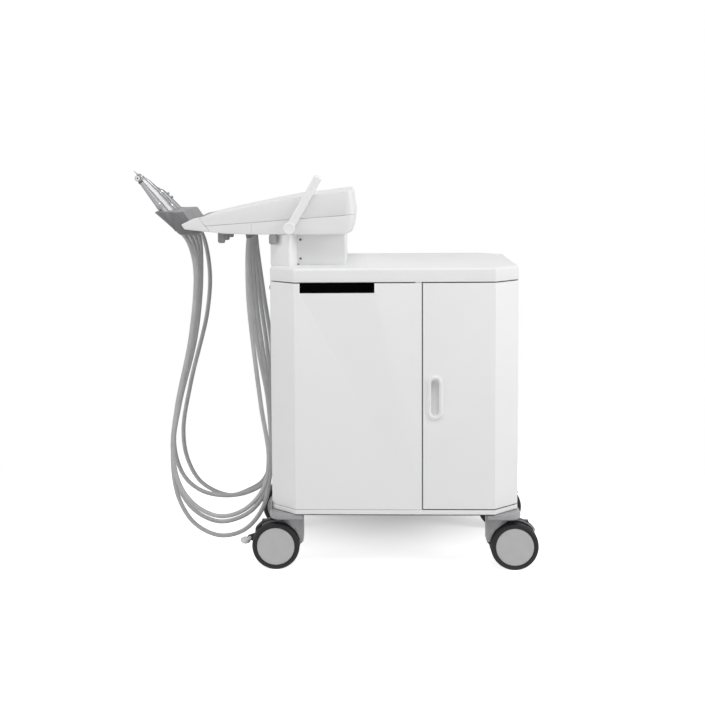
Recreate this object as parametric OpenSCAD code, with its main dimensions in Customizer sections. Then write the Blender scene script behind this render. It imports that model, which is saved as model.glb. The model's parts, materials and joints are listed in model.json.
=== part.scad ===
// Portable dental unit: an eight-sided cabinet on four twin-wheel casters,
// with a wedge-shaped delivery head and five hose-fed instruments.
// +Z is up, the instruments are at -X, the cupboard door faces -Y and hinges at +X.
// The origin lies on the floor under the middle of the overall length and depth.

/* [Cabinet] */
// Length of the cabinet, from the instrument side to the rear
cab_w = 516; // [460:2:620]
// Depth of the cabinet, from the door side to the far side
cab_d = 410; // [380:2:520]
// Size of the upright corner chamfers, along each wall
corner = 52; // [40:1:60]
// Height of the underside of the base tray above the floor
base_z = 122; // [118:1:140]
// Height of the rim of the base tray
tray_h = 10.5; // [8:0.5:20]
// Height of the wall panels
panel_h = 470; // [420:2:560]
// Thickness of the sheet-metal panels
sheet_t = 2; // [1.2:0.1:3]
// Gap between neighbouring panels
seam = 2.2; // [1.4:0.1:3]
// Thickness of the worktop
top_t = 29; // [22:1:40]
// Wall of the hollow moulded covers
shell_t = 3; // [2:0.5:4]

/* [Door] */
// Distance of the door's free edge from the middle of the cabinet
door_x = 57.5; // [40:0.5:80]
// Radius of the hinge knuckles
knuckle_r = 3; // [2.5:0.1:3.5]
// Width of the recessed pull
pull_w = 32; // [28:1:40]
// Height of the recessed pull
pull_h = 92; // [80:1:120]
// Depth of the finger recess
pull_deep = 13; // [10:1:18]

/* [Vent] */
// Length of the ventilation slot at the top of the near side panel
vent_w = 153; // [100:1:180]
// Height of the ventilation slot
vent_h = 20; // [12:1:30]

/* [Casters] */
// Radius of the wheels
wheel_r = 50; // [48:0.5:52]
// Radius of the grey hub caps
cap_r = 39.5; // [30:0.5:42]
// Width of one tyre
tyre_w = 21.5; // [16:0.5:23]
// Thickness of the web between the two wheels of a caster
web_t = 16; // [12:0.5:18]
// Distance from the swivel axis back to the wheel axle
trail = 35; // [33:1:37]
// Distance of the swivel axis from the end of the cabinet
stem_in_x = 43.5; // [40:0.5:50]
// Distance of the swivel axis from the side of the cabinet
stem_in_y = 44; // [42:0.5:50]
// Radius of the swivel pin
stem_r = 6; // [5:0.5:8]
// Radius of the wheel axle
axle_r = 4; // [3:0.5:6]

/* [Delivery head] */
// Width of the delivery head, across the depth of the cabinet
head_w = 300; // [270:2:330]
// Height of the pedestal between the worktop and the head
pedestal_h = 66; // [60:1:90]
// Depth of the pedestal box
ped_d = 226; // [200:2:250]
// Length of the positioning arm, from its pivot to its end
arm_len = 124; // [90:1:140]
// Width of the positioning arm
arm_w = 17; // [12:1:20]
// Angle of the positioning arm above the horizontal
arm_tilt = 60; // [50:1:75]

/* [Instruments] */
// Distance between neighbouring instruments
pitch = 48; // [42:1:50]
// Slope of the nearest instrument above the horizontal
slope_near = 52; // [48:0.5:54]
// Change of slope from one instrument to the next
slope_step = 1.6; // [0:0.1:2]
// Radius of an instrument where it stands in the holder
grip_r = 8.5; // [7:0.1:9]
// Outer diameter of the hoses
hose_d = 9.5; // [8:0.5:11]

/* [Hidden] */
$fn = 64;

// Colours
white = [0.93, 0.93, 0.93];
trim_grey = [0.58, 0.58, 0.59];
mid_grey = [0.66, 0.66, 0.67];
dark_grey = [0.33, 0.33, 0.34];
tyre_black = [0.08, 0.08, 0.09];
steel = [0.75, 0.75, 0.77];
hose_grey = [0.55, 0.55, 0.56];

// Clearances
run = 0.05;      // radial clearance of a turning fit
gap = 0.3;       // clearance between pieces that move past each other
eps = 0.5;       // overlap of a cutting tool past the face that it cuts
thin = 0.01;     // thickness of a slice inside a hull

// Levels and places on the cabinet
tray_top = base_z + tray_h;
panel_z0 = tray_top + seam;
panel_z1 = panel_z0 + panel_h;
top_z0 = panel_z1 + seam;
top_z1 = top_z0 + top_t;
floor_z = base_z + sheet_t;
half_w = cab_w / 2;
half_d = cab_d / 2;
stem_x = half_w - stem_in_x;
stem_y = half_d - stem_in_y;
hinge_x = half_w - knuckle_r;
hinge_y = -(half_d - corner) + gap + knuckle_r;
door_end_y = -(half_d - corner) - gap;
rear_y0 = hinge_y + knuckle_r + 1.8;
divider_x = door_x - 15;
post = 18;

// The delivery head, measured from the pedestal's top and the cabinet's front wall
head_z = top_z1 + pedestal_h;
nose_x = -half_w - 185;
pivot_x = -half_w + 41.5;
pivot_z = head_z + 13.2;
pivot_r = 12.7;
mouth_x = -half_w - 227;
mouth_z = head_z + 48;
holder_w = head_w - 28;
tail_len = 50;
tail_r = 6.5;
arm_t = 9.5;

// Reach of the whole object to each side of the cabinet's middle
function slope(i) = slope_near - i * slope_step;
scaler_i = 1;
scaler_len = 112;
scaler_tip_r = 0.7;
reach_front = -mouth_x + scaler_len * cos(slope(scaler_i)) + scaler_tip_r * sin(slope(scaler_i));
reach_rear = stem_x + trail + wheel_r;
cab_x = (reach_front - reach_rear) / 2;

// Outlines
function octagon(w, d, c) = [
  [-w / 2 + c, -d / 2], [w / 2 - c, -d / 2], [w / 2, -d / 2 + c], [w / 2, d / 2 - c],
  [w / 2 - c, d / 2], [-w / 2 + c, d / 2], [-w / 2, d / 2 - c], [-w / 2, -d / 2 + c]
];
function unit(v) = v / norm(v);
function left_of(v) = [-v.y, v.x];
// Moves each side of an anticlockwise outline inwards by t
function inset(p, t) = [
  for (i = [0 : len(p) - 1])
    let (n = len(p), u = left_of(unit(p[i] - p[(i + n - 1) % n])),
         v = left_of(unit(p[(i + 1) % n] - p[i])))
      p[i] + t * (u + v) / (1 + u * v)
];
cab_outline = octagon(cab_w, cab_d, corner);

module at_cabinet() {
  translate([cab_x, 0, 0]) children();
}

// An outline in the X-Z plane, drawn out along Y from y0 to y1
module slab_y(y0, y1) {
  translate([0, y1, 0]) rotate([90, 0, 0]) linear_extrude(y1 - y0) children();
}

module box(lo, hi) {
  translate(lo) cube(hi - lo);
}

module plate(lo, hi) {
  translate(lo) square(hi - lo);
}

module stadium(w, h) {
  r = w / 2;
  square([w, h - w], center = true);
  for (s = [-1, 1]) translate([0, s * (h / 2 - r)]) circle(r);
}

// Cabinet

// The sheet wall of the cabinet between two heights
module wall_ring(z0, z1, t = sheet_t) {
  translate([0, 0, z0]) linear_extrude(z1 - z0) difference() {
    polygon(cab_outline);
    polygon(inset(cab_outline, t));
  }
}

module base_tray() {
  color(white) at_cabinet() {
    wall_ring(base_z, tray_top);
    translate([0, 0, base_z]) linear_extrude(sheet_t) polygon(cab_outline);
  }
}

post_x = half_w - sheet_t - post;
rail = 14;

module square_post(x, y) {
  box([x, y, floor_z], [x + post, y + post, top_z0]);
}

// Posts, top rails and bay divider, which the panels and the worktop are fixed to
module inner_frame() {
  end_y = half_d - corner - 2;
  side_y = half_d - sheet_t;
  color(steel) at_cabinet() difference() {
    union() {
      square_post(-post_x - post, -end_y);
      square_post(-post_x - post, end_y - post);
      square_post(post_x, end_y - post);
      square_post(hinge_x - 3 - post, rear_y0 + 2);
      // Bay divider with the door's jamb in front
      box([divider_x, -side_y, floor_z], [divider_x + sheet_t, side_y, top_z0]);
      box([divider_x + sheet_t, -side_y, floor_z], [door_x - 0.8, -side_y + post, top_z0]);
      // Top rails along the two ends, then along the two sides
      for (x = [-post_x - post, post_x])
        box([x, rear_y0 + 2, top_z0 - rail], [x + rail, end_y, top_z0]);
      for (y = [-end_y, end_y - rail])
        box([-post_x - eps, y, top_z0 - rail], [post_x + eps, y + rail, top_z0]);
    }
    screw_places() cylinder(r = screw_r, h = 2 * screw_len, center = true, $fn = 32);
  }
}

module vent_hole(clear) {
  x0 = -half_w + corner + 12;
  box([x0 - clear, -half_d - eps, panel_z1 - vent_h - clear],
      [x0 + vent_w + clear, -half_d + sheet_t + eps, panel_z1 + eps]);
}

module side_panel_near() {
  color(white) at_cabinet() difference() {
    wall_ring(panel_z0, panel_z1);
    box([door_x - seam, -cab_d, 0], [cab_w, cab_d, 2 * panel_z1]);
    box([-cab_w, -half_d + corner - seam / 2, 0], [cab_w, cab_d, 2 * panel_z1]);
    vent_hole(0);
  }
}

module side_panel_far() {
  color(white) at_cabinet() difference() {
    wall_ring(panel_z0, panel_z1);
    box([-cab_w, -cab_d, 0], [cab_w, half_d - corner + seam / 2, 2 * panel_z1]);
  }
}

module front_panel() {
  end_y = half_d - corner - seam / 2;
  color(white) at_cabinet() difference() {
    box([-half_w, -end_y, panel_z0], [-half_w + sheet_t, end_y, panel_z1]);
    screw_places() cylinder(r = screw_r, h = 2 * screw_len, center = true, $fn = 32);
  }
}

screw_r = 2.5;
screw_len = 8;
screw_in = 14;

// The four corners of the front service panel, with Z along the screw
module screw_places() {
  y = half_d - corner - screw_in;
  for (sy = [-1, 1], z = [panel_z0 + 30, panel_z1 - screw_in])
    translate([-half_w, sy * y, z]) rotate([0, -90, 0]) children();
}

module panel_screws() {
  color(dark_grey) at_cabinet() screw_places() {
    cylinder(r = 4.5, h = 2.2, $fn = 40);
    translate([0, 0, -screw_len]) cylinder(r = screw_r, h = screw_len, $fn = 32);
  }
}

louvres = 9;
louvre_w = 110;
inlet_w = 50;
inlet_h = 28;
inlet_z = panel_z0 + 46;
inlet_y = 90;

module rear_panel() {
  end_y = half_d - corner - seam / 2;
  color(white) at_cabinet() difference() {
    box([half_w - sheet_t, rear_y0, panel_z0], [half_w, end_y, panel_z1]);
    for (i = [0 : louvres - 1])
      box([half_w - sheet_t - eps, -louvre_w / 2, panel_z1 - 60 - i * 16],
          [half_w + eps, louvre_w / 2, panel_z1 - 54 - i * 16]);
    box([half_w - sheet_t - eps, inlet_y - inlet_w / 2 + 7, inlet_z - inlet_h / 2 + 2],
        [half_w + eps, inlet_y + inlet_w / 2 - 7, inlet_z + inlet_h / 2 - 2]);
  }
}

// A three-pin appliance inlet in a flanged plate
module mains_inlet() {
  wall = 2;
  deep = 22;
  lo = [half_w - deep, inlet_y - inlet_w / 2 + 7, inlet_z - inlet_h / 2 + 2];
  hi = [half_w, inlet_y + inlet_w / 2 - 7, inlet_z + inlet_h / 2 - 2];
  color(dark_grey) at_cabinet() {
    difference() {
      union() {
        box([half_w, inlet_y - inlet_w / 2, inlet_z - inlet_h / 2],
            [half_w + 1.5, inlet_y + inlet_w / 2, inlet_z + inlet_h / 2]);
        box(lo, hi);
      }
      box(lo + [wall, wall, wall], hi + [5, -wall, -wall]);
    }
    for (i = [-1, 0, 1])
      box([lo.x, inlet_y + i * 8 - 1, inlet_z - 3], [half_w - 8, inlet_y + i * 8 + 1, inlet_z + 3]);
  }
}

slats = 4;

module vent_insert() {
  x0 = -half_w + corner + 12;
  y0 = -half_d + sheet_t;
  z0 = panel_z1 - vent_h;
  color([0.03, 0.03, 0.03]) at_cabinet() difference() {
    box([x0 - 5, y0, z0 - 5], [x0 + vent_w + 5, y0 + 7, panel_z1]);
    for (i = [0 : slats - 1])
      box([x0, y0 - eps, z0 + (i + 0.25) * vent_h / slats],
          [x0 + vent_w, y0 + 5, z0 + (i + 0.75) * vent_h / slats]);
  }
}

top_round = 4.5;

// Moulded top; behind the pedestal lies a slightly raised area for a tray
module worktop() {
  rib = 4;
  rest_h = 0.5;
  rest_x0 = box_x1 + 40;
  color(white) at_cabinet() difference() {
    union() {
      hull() {
        translate([0, 0, top_z0]) linear_extrude(thin) polygon(cab_outline);
        translate([0, 0, top_z1 - top_round]) linear_extrude(thin) polygon(cab_outline);
        translate([0, 0, top_z1 - top_round * 0.3]) linear_extrude(thin)
          polygon(inset(cab_outline, top_round * 0.3));
        translate([0, 0, top_z1 - thin]) linear_extrude(thin)
          polygon(inset(cab_outline, top_round));
      }
      translate([0, 0, top_z1 - 1]) linear_extrude(1 + rest_h) intersection() {
        polygon(inset(cab_outline, 16));
        translate([rest_x0, -half_d]) square([half_w - rest_x0, cab_d]);
      }
    }
    translate([0, 0, top_z0 - eps]) linear_extrude(top_t - 2 * shell_t + eps) difference() {
      polygon(inset(cab_outline, 2 * shell_t));
      square([rib, cab_d], center = true);
      square([cab_w, rib], center = true);
    }
  }
}

// Door

pull_x = door_x + 25;
pull_z = panel_z0 + 233.5;
recess_w = pull_w / 2;
recess_h = pull_h - pull_w / 2;
cup_t = 1.5;
door_return = 12;

module pull_outline(w, h, y0, y1) {
  translate([pull_x, 0, pull_z]) slab_y(y0, y1) stadium(w, h);
}

module door() {
  color(white) at_cabinet() difference() {
    union() {
      difference() {
        wall_ring(panel_z0, panel_z1);
        box([-cab_w, -cab_d, 0], [door_x, cab_d, 2 * panel_z1]);
        box([-cab_w, door_end_y, 0], [cab_w, cab_d, 2 * panel_z1]);
      }
      // Folded returns along the free edge, the top and the bottom
      box([door_x, -half_d, panel_z0], [door_x + sheet_t, -half_d + door_return, panel_z1]);
      for (z = [panel_z0, panel_z1 - sheet_t])
        box([door_x, -half_d, z], [half_w - corner, -half_d + door_return, z + sheet_t]);
    }
    pull_outline(recess_w + 2 * cup_t, recess_h + 2 * cup_t, -half_d - eps, -half_d + sheet_t + eps);
  }
}

// A raised bezel round a finger cup
module door_pull() {
  bezel = 3;
  color([0.95, 0.95, 0.95]) at_cabinet() difference() {
    union() {
      pull_outline(pull_w, pull_h, -half_d - bezel, -half_d);
      pull_outline(pull_w - 3, pull_h - 3, -half_d - bezel - 1, -half_d);
      pull_outline(recess_w + 2 * cup_t, recess_h + 2 * cup_t, -half_d - bezel, -half_d + pull_deep);
    }
    pull_outline(recess_w, recess_h, -half_d - 2 * bezel, -half_d + pull_deep - cup_t);
  }
}

catch_w = 40;
catch_d = 12;
catch_x1 = door_x + 11;

// Magnetic catch on the jamb, which holds the rear edge of the door's folded return
module door_catch() {
  y0 = -half_d + door_return + gap;
  color(dark_grey) at_cabinet() {
    box([door_x - 0.8, y0, pull_z - catch_w / 2], [catch_x1, y0 + catch_d, pull_z + catch_w / 2]);
  }
}

hinge_z = [for (i = [0 : 5]) panel_z0 + i * panel_h / 5];
pin_r = 1.5;
knuckle_gap = 0.4;

// One knuckle of the door's full-height hinge
module knuckle(i) {
  translate([hinge_x, hinge_y, hinge_z[i] + knuckle_gap])
    cylinder(r = knuckle_r, h = hinge_z[i + 1] - hinge_z[i] - 2 * knuckle_gap, $fn = 48);
}

// The fixed leaf, its three knuckles and the pin
module hinge_frame_side() {
  leaf_x = hinge_x - 1.5;
  color(steel) at_cabinet() {
    for (i = [0, 2, 4]) {
      knuckle(i);
      box([leaf_x - 1.5, hinge_y + 1, hinge_z[i] + knuckle_gap],
          [leaf_x, hinge_y + 22, hinge_z[i + 1] - knuckle_gap]);
    }
    translate([hinge_x, hinge_y, panel_z0 + knuckle_gap])
      cylinder(r = pin_r, h = panel_h - 2 * knuckle_gap, $fn = 48);
  }
}

// The moving leaf lies on the inner face of the door's chamfer
module hinge_door_side() {
  leaf_t = 1.2;
  leaf_w = 22;
  leaf_lap = 1.3;
  // Where the inner face of the chamfer ends at the door's edge
  edge_x = half_w - sheet_t * sqrt(2) - gap;
  color(steel) at_cabinet() for (i = [1, 3]) {
    difference() {
      union() {
        knuckle(i);
        translate([edge_x, door_end_y, hinge_z[i] + knuckle_gap]) rotate([0, 0, 225])
          translate([-leaf_lap, -leaf_t, 0])
            cube([leaf_w, leaf_t, hinge_z[i + 1] - hinge_z[i] - 2 * knuckle_gap]);
      }
      translate([hinge_x, hinge_y, hinge_z[i]]) cylinder(r = pin_r + run, h = panel_h, $fn = 48);
    }
  }
}

// Inside the cabinet

comp_x = -110;
comp_y = -40;
comp_r = 52;

// Oil-free compressor: a motor drum across the cabinet with a cylinder head at each end
module compressor() {
  axis_z = floor_z + 34 + comp_r;
  color(dark_grey) at_cabinet() translate([comp_x, comp_y, 0]) {
    translate([0, 0, axis_z]) rotate([90, 0, 0]) cylinder(r = comp_r, h = 120, center = true);
    for (s = [-1, 1]) {
      translate([0, s * 72, axis_z]) rotate([90, 0, 0]) cylinder(r = comp_r * 0.8, h = 26, center = true);
      box([-26, s * 72 - 13, axis_z], [26, s * 72 + 13, axis_z + 78]);
      for (k = [0 : 4])
        box([-31, s * 72 - 18, axis_z + 44 + k * 7], [31, s * 72 + 18, axis_z + 47 + k * 7]);
      box([-44, s * 40 - 12, floor_z + 16], [44, s * 40 + 12, axis_z - comp_r * 0.5]);
      for (x = [-34, 34])
        translate([x, s * 40, floor_z]) cylinder(r = 10, h = 16);
    }
  }
}

tank_r = 52;

// Receiver with domed ends, lying on two saddles behind the compressor
module air_tank() {
  x0 = comp_x - 100;
  len = 200;
  axis_z = floor_z + tank_r + 12;
  color(white) at_cabinet() translate([comp_x, half_d - 87, 0]) {
    translate([0, 0, axis_z]) rotate([0, 90, 0]) {
      cylinder(r = tank_r, h = len - 2 * 22, center = true);
      for (s = [-1, 1]) translate([0, 0, s * (len / 2 - 22)]) intersection() {
        sphere(r = tank_r);
        cylinder(r = tank_r, h = 44, center = true);
      }
    }
    for (x = [-55, 55])
      box([x - 8, -30, floor_z], [x + 8, 30, axis_z - tank_r * 0.6]);
  }
}

bottle_r = 44;

// Clean-water bottle with a screw cap, standing in the cupboard
module water_bottle() {
  at = [door_x + 75, 95, floor_z];
  color([0.75, 0.85, 0.92]) at_cabinet() translate(at) rotate_extrude() difference() {
    polygon([[0, 0], [bottle_r - 3, 0], [bottle_r, 3], [bottle_r, 180], [bottle_r - 12, 200],
             [19, 212], [19, 236], [0, 236]]);
    polygon([[0, 2], [bottle_r - 4, 2], [bottle_r - 2, 4], [bottle_r - 2, 179], [bottle_r - 13, 198],
             [17, 210], [17, 232], [0, 232]]);
  }
}

// Air and water valves, bolted to the machine side of the bay divider
module control_block() {
  x1 = divider_x;
  z0 = floor_z + 250;
  color(mid_grey) at_cabinet() {
    box([x1 - 44, -70, z0], [x1, 90, z0 + 60]);
    for (i = [0 : 4]) {
      translate([x1 - 22, -54 + i * 32, z0 + 60]) cylinder(r = 10, h = 34, $fn = 40);
      translate([x1 - 22, -54 + i * 32, z0 - 12]) cylinder(r = 4.5, h = 12, $fn = 32);
    }
  }
}

// Casters

bracket_t = 13;
bracket_z0 = base_z - bracket_t;
fork_top = bracket_z0 - gap;
stem_hole = 9;
tyre_in = web_t / 2 + 1.3;
lip_t = 3.5;
lip_h = 16;

// Plan of a rounded corner foot, with the stem axis at the origin and the corner at +X +Y
module foot_plan() {
  ex = stem_in_x + lip_t;
  ey = stem_in_y - 3;
  r = 24;
  difference() {
    union() {
      translate([-24, -24]) square([ex - r + 24, ey + 24]);
      translate([-24, -24]) square([ex + 24, ey - r + 24]);
      translate([ex - r, ey - r]) circle(r);
    }
    translate([-34, -34]) circle(20);
  }
}

// Four grey corner feet under the tray, each with the bore for a swivel pin
module caster_brackets() {
  color(trim_grey) at_cabinet() for (sx = [-1, 1], sy = [-1, 1])
    mirror([sx < 0 ? 1 : 0, 0, 0]) mirror([0, sy < 0 ? 1 : 0, 0]) translate([stem_x, stem_y, 0]) {
      difference() {
        translate([0, 0, bracket_z0]) linear_extrude(bracket_t) foot_plan();
        translate([0, 0, bracket_z0 - eps]) cylinder(r = stem_r + run, h = stem_hole + eps);
      }
      if (sx < 0)
        box([stem_in_x, -20, bracket_z0 + 1], [stem_in_x + lip_t, -1, base_z + lip_h]);
    }
}

// Places a caster's pieces: swivel axis at the origin, wheels trailing along +X
module at_caster(sx, sy) {
  at_cabinet() translate([sx * stem_x, sy * stem_y, 0])
    mirror([sx < 0 ? 1 : 0, 0, 0]) children();
}

module axle_line(x = trail) {
  translate([x, 0, wheel_r]) rotate([90, 0, 0]) children();
}

pedal_x = trail + wheel_r + 7;
pedal_z = 62;
tongue_t = 8;
pedal_pin_r = 2;

module wheel_room() {
  for (s = [-1, 1]) translate([0, s * (tyre_in + 15 - 0.7), 0])
    axle_line() cylinder(r = wheel_r + 1.5, h = 30, center = true);
}

module upright(z0, z1, r) {
  translate([0, 0, z0]) cylinder(r = r, h = z1 - z0);
}

// Narrow hood between the two wheels, with the swivel pin on top
module fork(sx, sy, brake) {
  guard = tyre_in - 0.5;
  color(trim_grey) at_caster(sx, sy) difference() {
    union() {
      upright(fork_top, bracket_z0 + stem_hole - 1.5, stem_r);
      difference() {
        union() {
          upright(wheel_r + 36, fork_top, 21);
          box([-23, -19, wheel_r + 8], [4, 19, fork_top]);
        }
        wheel_room();
      }
      axle_line() cylinder(r = wheel_r - 12, h = web_t, center = true);
      box([-23, -web_t / 2, wheel_r - 4], [trail, web_t / 2, fork_top]);
      // Rim of the hood, just above the tyres
      intersection() {
        difference() {
          axle_line() cylinder(r = wheel_r + 4.5, h = 2 * guard, center = true);
          axle_line() cylinder(r = wheel_r + 1.8, h = 80, center = true);
        }
        box([-25, -40, wheel_r + 16], [trail + wheel_r - 6, 40, fork_top]);
      }
      box([0, -web_t / 2, wheel_r + 20], [trail + 30, web_t / 2, wheel_r + 50]);
      if (brake)
        slab_y(-tongue_t / 2, tongue_t / 2) union() {
          polygon([[trail + 20, wheel_r - 8], [pedal_x, pedal_z - 4.5], [pedal_x, pedal_z + 4.5],
                   [trail + 20, wheel_r + 30]]);
          translate([pedal_x, pedal_z]) circle(4.5);
        }
    }
    axle_line() cylinder(r = axle_r + run, h = 60, center = true);
    if (brake)
      translate([pedal_x, 0, pedal_z]) rotate([90, 0, 0])
        cylinder(r = pedal_pin_r + run, h = 60, center = true, $fn = 40);
  }
}

// The two tyres of one caster
module tyre(sx, sy) {
  shoulder = 5;
  color(tyre_black) at_caster(sx, sy) for (s = [-1, 1]) translate([0, s * tyre_in, 0])
    axle_line() mirror([0, 0, s > 0 ? 1 : 0]) rotate_extrude($fn = 96) {
      difference() {
        translate([cap_r, 0]) square([wheel_r - cap_r, tyre_w]);
        for (y = [0, tyre_w - shoulder]) translate([wheel_r - shoulder, y]) square(shoulder);
      }
      for (y = [shoulder, tyre_w - shoulder]) translate([wheel_r - shoulder, y]) circle(shoulder);
    }
}

// Both wheel discs on their common axle
module hub(sx, sy) {
  dish = 2;
  color(mid_grey) at_caster(sx, sy) {
    axle_line() cylinder(r = axle_r, h = 2 * tyre_in + 2, center = true);
    for (s = [-1, 1]) translate([0, s * tyre_in, 0])
      axle_line() mirror([0, 0, s > 0 ? 1 : 0]) rotate_extrude($fn = 96)
        polygon([[0, 0.5], [cap_r, 0.5], [cap_r, tyre_w - 1.5], [cap_r - 3, tyre_w - 0.5],
                 [cap_r - 8, tyre_w - 0.5 - dish / 2], [0, tyre_w - dish / 2]]);
  }
}

// Foot lever that locks the caster
module brake_pedal(sy) {
  ear_in = tongue_t / 2 + gap;
  pad_w = 28;
  color(mid_grey) at_caster(-1, sy) {
    for (s = [-1, 1]) mirror([0, s < 0 ? 1 : 0, 0]) slab_y(ear_in, ear_in + 4) {
      translate([pedal_x, pedal_z]) circle(4.2);
      polygon([[pedal_x, pedal_z - 3.6], [pedal_x + 9, pedal_z - 3], [pedal_x + 9, pedal_z + 5.5],
               [pedal_x, pedal_z + 4]]);
    }
    translate([pedal_x, 0, pedal_z]) rotate([90, 0, 0])
      cylinder(r = pedal_pin_r, h = 2 * ear_in + 8, center = true, $fn = 40);
    translate([pedal_x + 13, 0, pedal_z + 2.5]) rotate([0, -22, 0])
      linear_extrude(9, center = true) union() {
        square([14, pad_w - 10], center = true);
        square([12, pad_w], center = true);
        for (a = [-1, 1], b = [-1, 1]) translate([a * 3, b * (pad_w / 2 - 6)]) circle(6, $fn = 40);
      }
  }
}

// Pedestal

box_x0 = -half_w + 56;
box_x1 = -half_w + 159;
wing_y = head_w / 2 + 7.5;

shroud_outline = [
  [-half_w, 32.5 - wing_y], [-half_w + 42.5, -wing_y], [box_x0, -ped_d / 2],
  [box_x0, ped_d / 2], [-half_w + 42.5, wing_y], [-half_w, wing_y - 32.5]
];

module pedestal_shroud() {
  z1 = head_z - gap;
  color(white) at_cabinet() difference() {
    translate([0, 0, top_z1]) linear_extrude(z1 - top_z1) polygon(shroud_outline);
    translate([0, 0, top_z1 + shell_t]) linear_extrude(z1) polygon(inset(shroud_outline, shell_t));
  }
}

module pedestal_box() {
  r = 6;
  z1 = head_z;
  wall = 2.5;
  y = ped_d / 2 - 2;
  color(white) at_cabinet() difference() {
    union() {
      box([box_x0, -y, top_z1], [box_x1 - r, y, z1]);
      box([box_x0, -y + r, top_z1], [box_x1, y - r, z1]);
      for (s = [-1, 1]) translate([box_x1 - r, s * (y - r), top_z1]) cylinder(r = r, h = z1 - top_z1);
      for (s = [-1, 1], z = [top_z1 + 13, z1 - 13])
        translate([box_x0 + 6.5, s * y, z]) rotate([s * -90, 0, 0]) cylinder(r = 2.6, h = 1.4, $fn = 32);
    }
    box([box_x0 + wall, -y + wall, top_z1 + wall], [box_x1 - wall, y - wall, z1 + eps]);
  }
}

// Delivery head: outlines in X-Z

rear_x = -half_w + 181;
joint_x = -half_w - 38;
seam_front = [-half_w - 134, head_z + 18.8];
seam_rear = [rear_x, head_z + 41];
seam_rise = (seam_rear.y - seam_front.y) / (seam_rear.x - seam_front.x);
function seam_z(x) = seam_front.y + (x - seam_front.x) * seam_rise;
under = [-half_w - 123.4, head_z + 5.9];

top_outline = [
  seam_front, seam_rear, [rear_x - 7, head_z + 91.6],
  [-half_w + 162, head_z + 90.4], [-half_w + 95, head_z + 82], [-half_w + 60, head_z + 79.4],
  [-half_w - 12, head_z + 66], [-half_w - 96, head_z + 48.6], [-half_w - 147.6, head_z + 36.4],
  [-half_w - 144.6, head_z + 32.3]
];
lower_rear_outline = [
  [joint_x, head_z + 0.6], [-half_w + 30, head_z], [-half_w + 159, head_z],
  [rear_x - 8.5, head_z + 5.3], [rear_x - 3, head_z + 21.8], seam_rear, [joint_x, seam_z(joint_x)]
];
lower_front_outline = [
  under, [-half_w - 96, head_z + 2.8], [joint_x, head_z + 0.6],
  [joint_x, seam_z(joint_x)], seam_front
];
nose_outline = [
  [nose_x, head_z + 22.3], [-half_w - 178.5, head_z + 12.2], [-half_w - 138, head_z + 7.2],
  under, seam_front, [-half_w - 144.6, head_z + 32.3],
  [-half_w - 147.6, head_z + 36.4], [-half_w - 160, head_z + 34]
];
// The face of the head that the instrument holder is bolted to
holder_x1 = -half_w - 139;

// Plan of the head with rounded rear corners, t inside its outer face
module head_plan(t) {
  r = 18;
  y = head_w / 2 - t;
  x1 = rear_x - t;
  translate([-cab_w, -y]) square([x1 - r + cab_w, 2 * y]);
  translate([-cab_w, -y + r]) square([x1 + cab_w, 2 * (y - r)]);
  for (s = [-1, 1]) translate([x1 - r, s * (y - r)]) circle(r);
}

// A hollow cover with an X-Z outline, open on the side that shift points to
module head_shell(outline, shift) {
  difference() {
    intersection() {
      slab_y(-head_w / 2, head_w / 2) polygon(outline);
      linear_extrude(3 * head_z) head_plan(0);
    }
    intersection() {
      slab_y(-head_w / 2 + shell_t, head_w / 2 - shell_t) {
        polygon(inset(outline, shell_t));
        translate(shift) polygon(inset(outline, shell_t));
      }
      linear_extrude(3 * head_z) head_plan(shell_t);
    }
  }
}

// The room of the instrument holder in front of the head
module holder_room() {
  box([nose_x - 10, -holder_w / 2 - gap, head_z - 20], [holder_x1, holder_w / 2 + gap, head_z + 80]);
}

module head_top() {
  color(white) at_cabinet() difference() {
    head_shell(top_outline, [0, -2 * shell_t]);
    holder_room();
  }
}

knob_r = 7.3;
knob_h = 24;
knob_x = -half_w - 107;
knob_y = [-82, 18, 118];
selector_r = 8.2;
selector_at = [-half_w + 7, -head_w / 2 + 7.5];
knob_pin_r = 2.5;

module head_lower_rear() {
  pin_deep = 12;
  color(white) at_cabinet() difference() {
    union() {
      head_shell(lower_rear_outline, [0, 2 * shell_t]);
      // Boss for the arm's pivot pin
      translate([pivot_x, -head_w / 2 + shell_t - eps, pivot_z]) rotate([-90, 0, 0])
        cylinder(r = 8, h = pin_deep);
    }
    translate([pivot_x, -head_w / 2 - eps, pivot_z]) rotate([-90, 0, 0])
      cylinder(r = pivot_pin_r, h = pin_deep + eps);
    translate([selector_at.x, selector_at.y, head_z - 5]) cylinder(r = knob_pin_r + run, h = 12, $fn = 40);
  }
}

module head_lower_front() {
  color(white) at_cabinet() difference() {
    head_shell(lower_front_outline, [0, 2 * shell_t]);
    for (y = knob_y)
      translate([knob_x, y, head_z - 5]) cylinder(r = knob_pin_r + run, h = 16, $fn = 40);
    box([gland_x - gland_l / 2, -gland_half, head_z - 5], [gland_x + gland_l / 2, gland_half, head_z + 9]);
  }
}

// The nose: a cross bar behind the holder and a cheek at each side of it
module head_nose() {
  color(white) at_cabinet() difference() {
    slab_y(-head_w / 2, head_w / 2) polygon(nose_outline);
    holder_room();
  }
}

// Positioning arm on the near side of the head

pivot_pin_r = 4;
arm_y1 = -head_w / 2 - 1;
arm_y0 = arm_y1 - arm_t;

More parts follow.
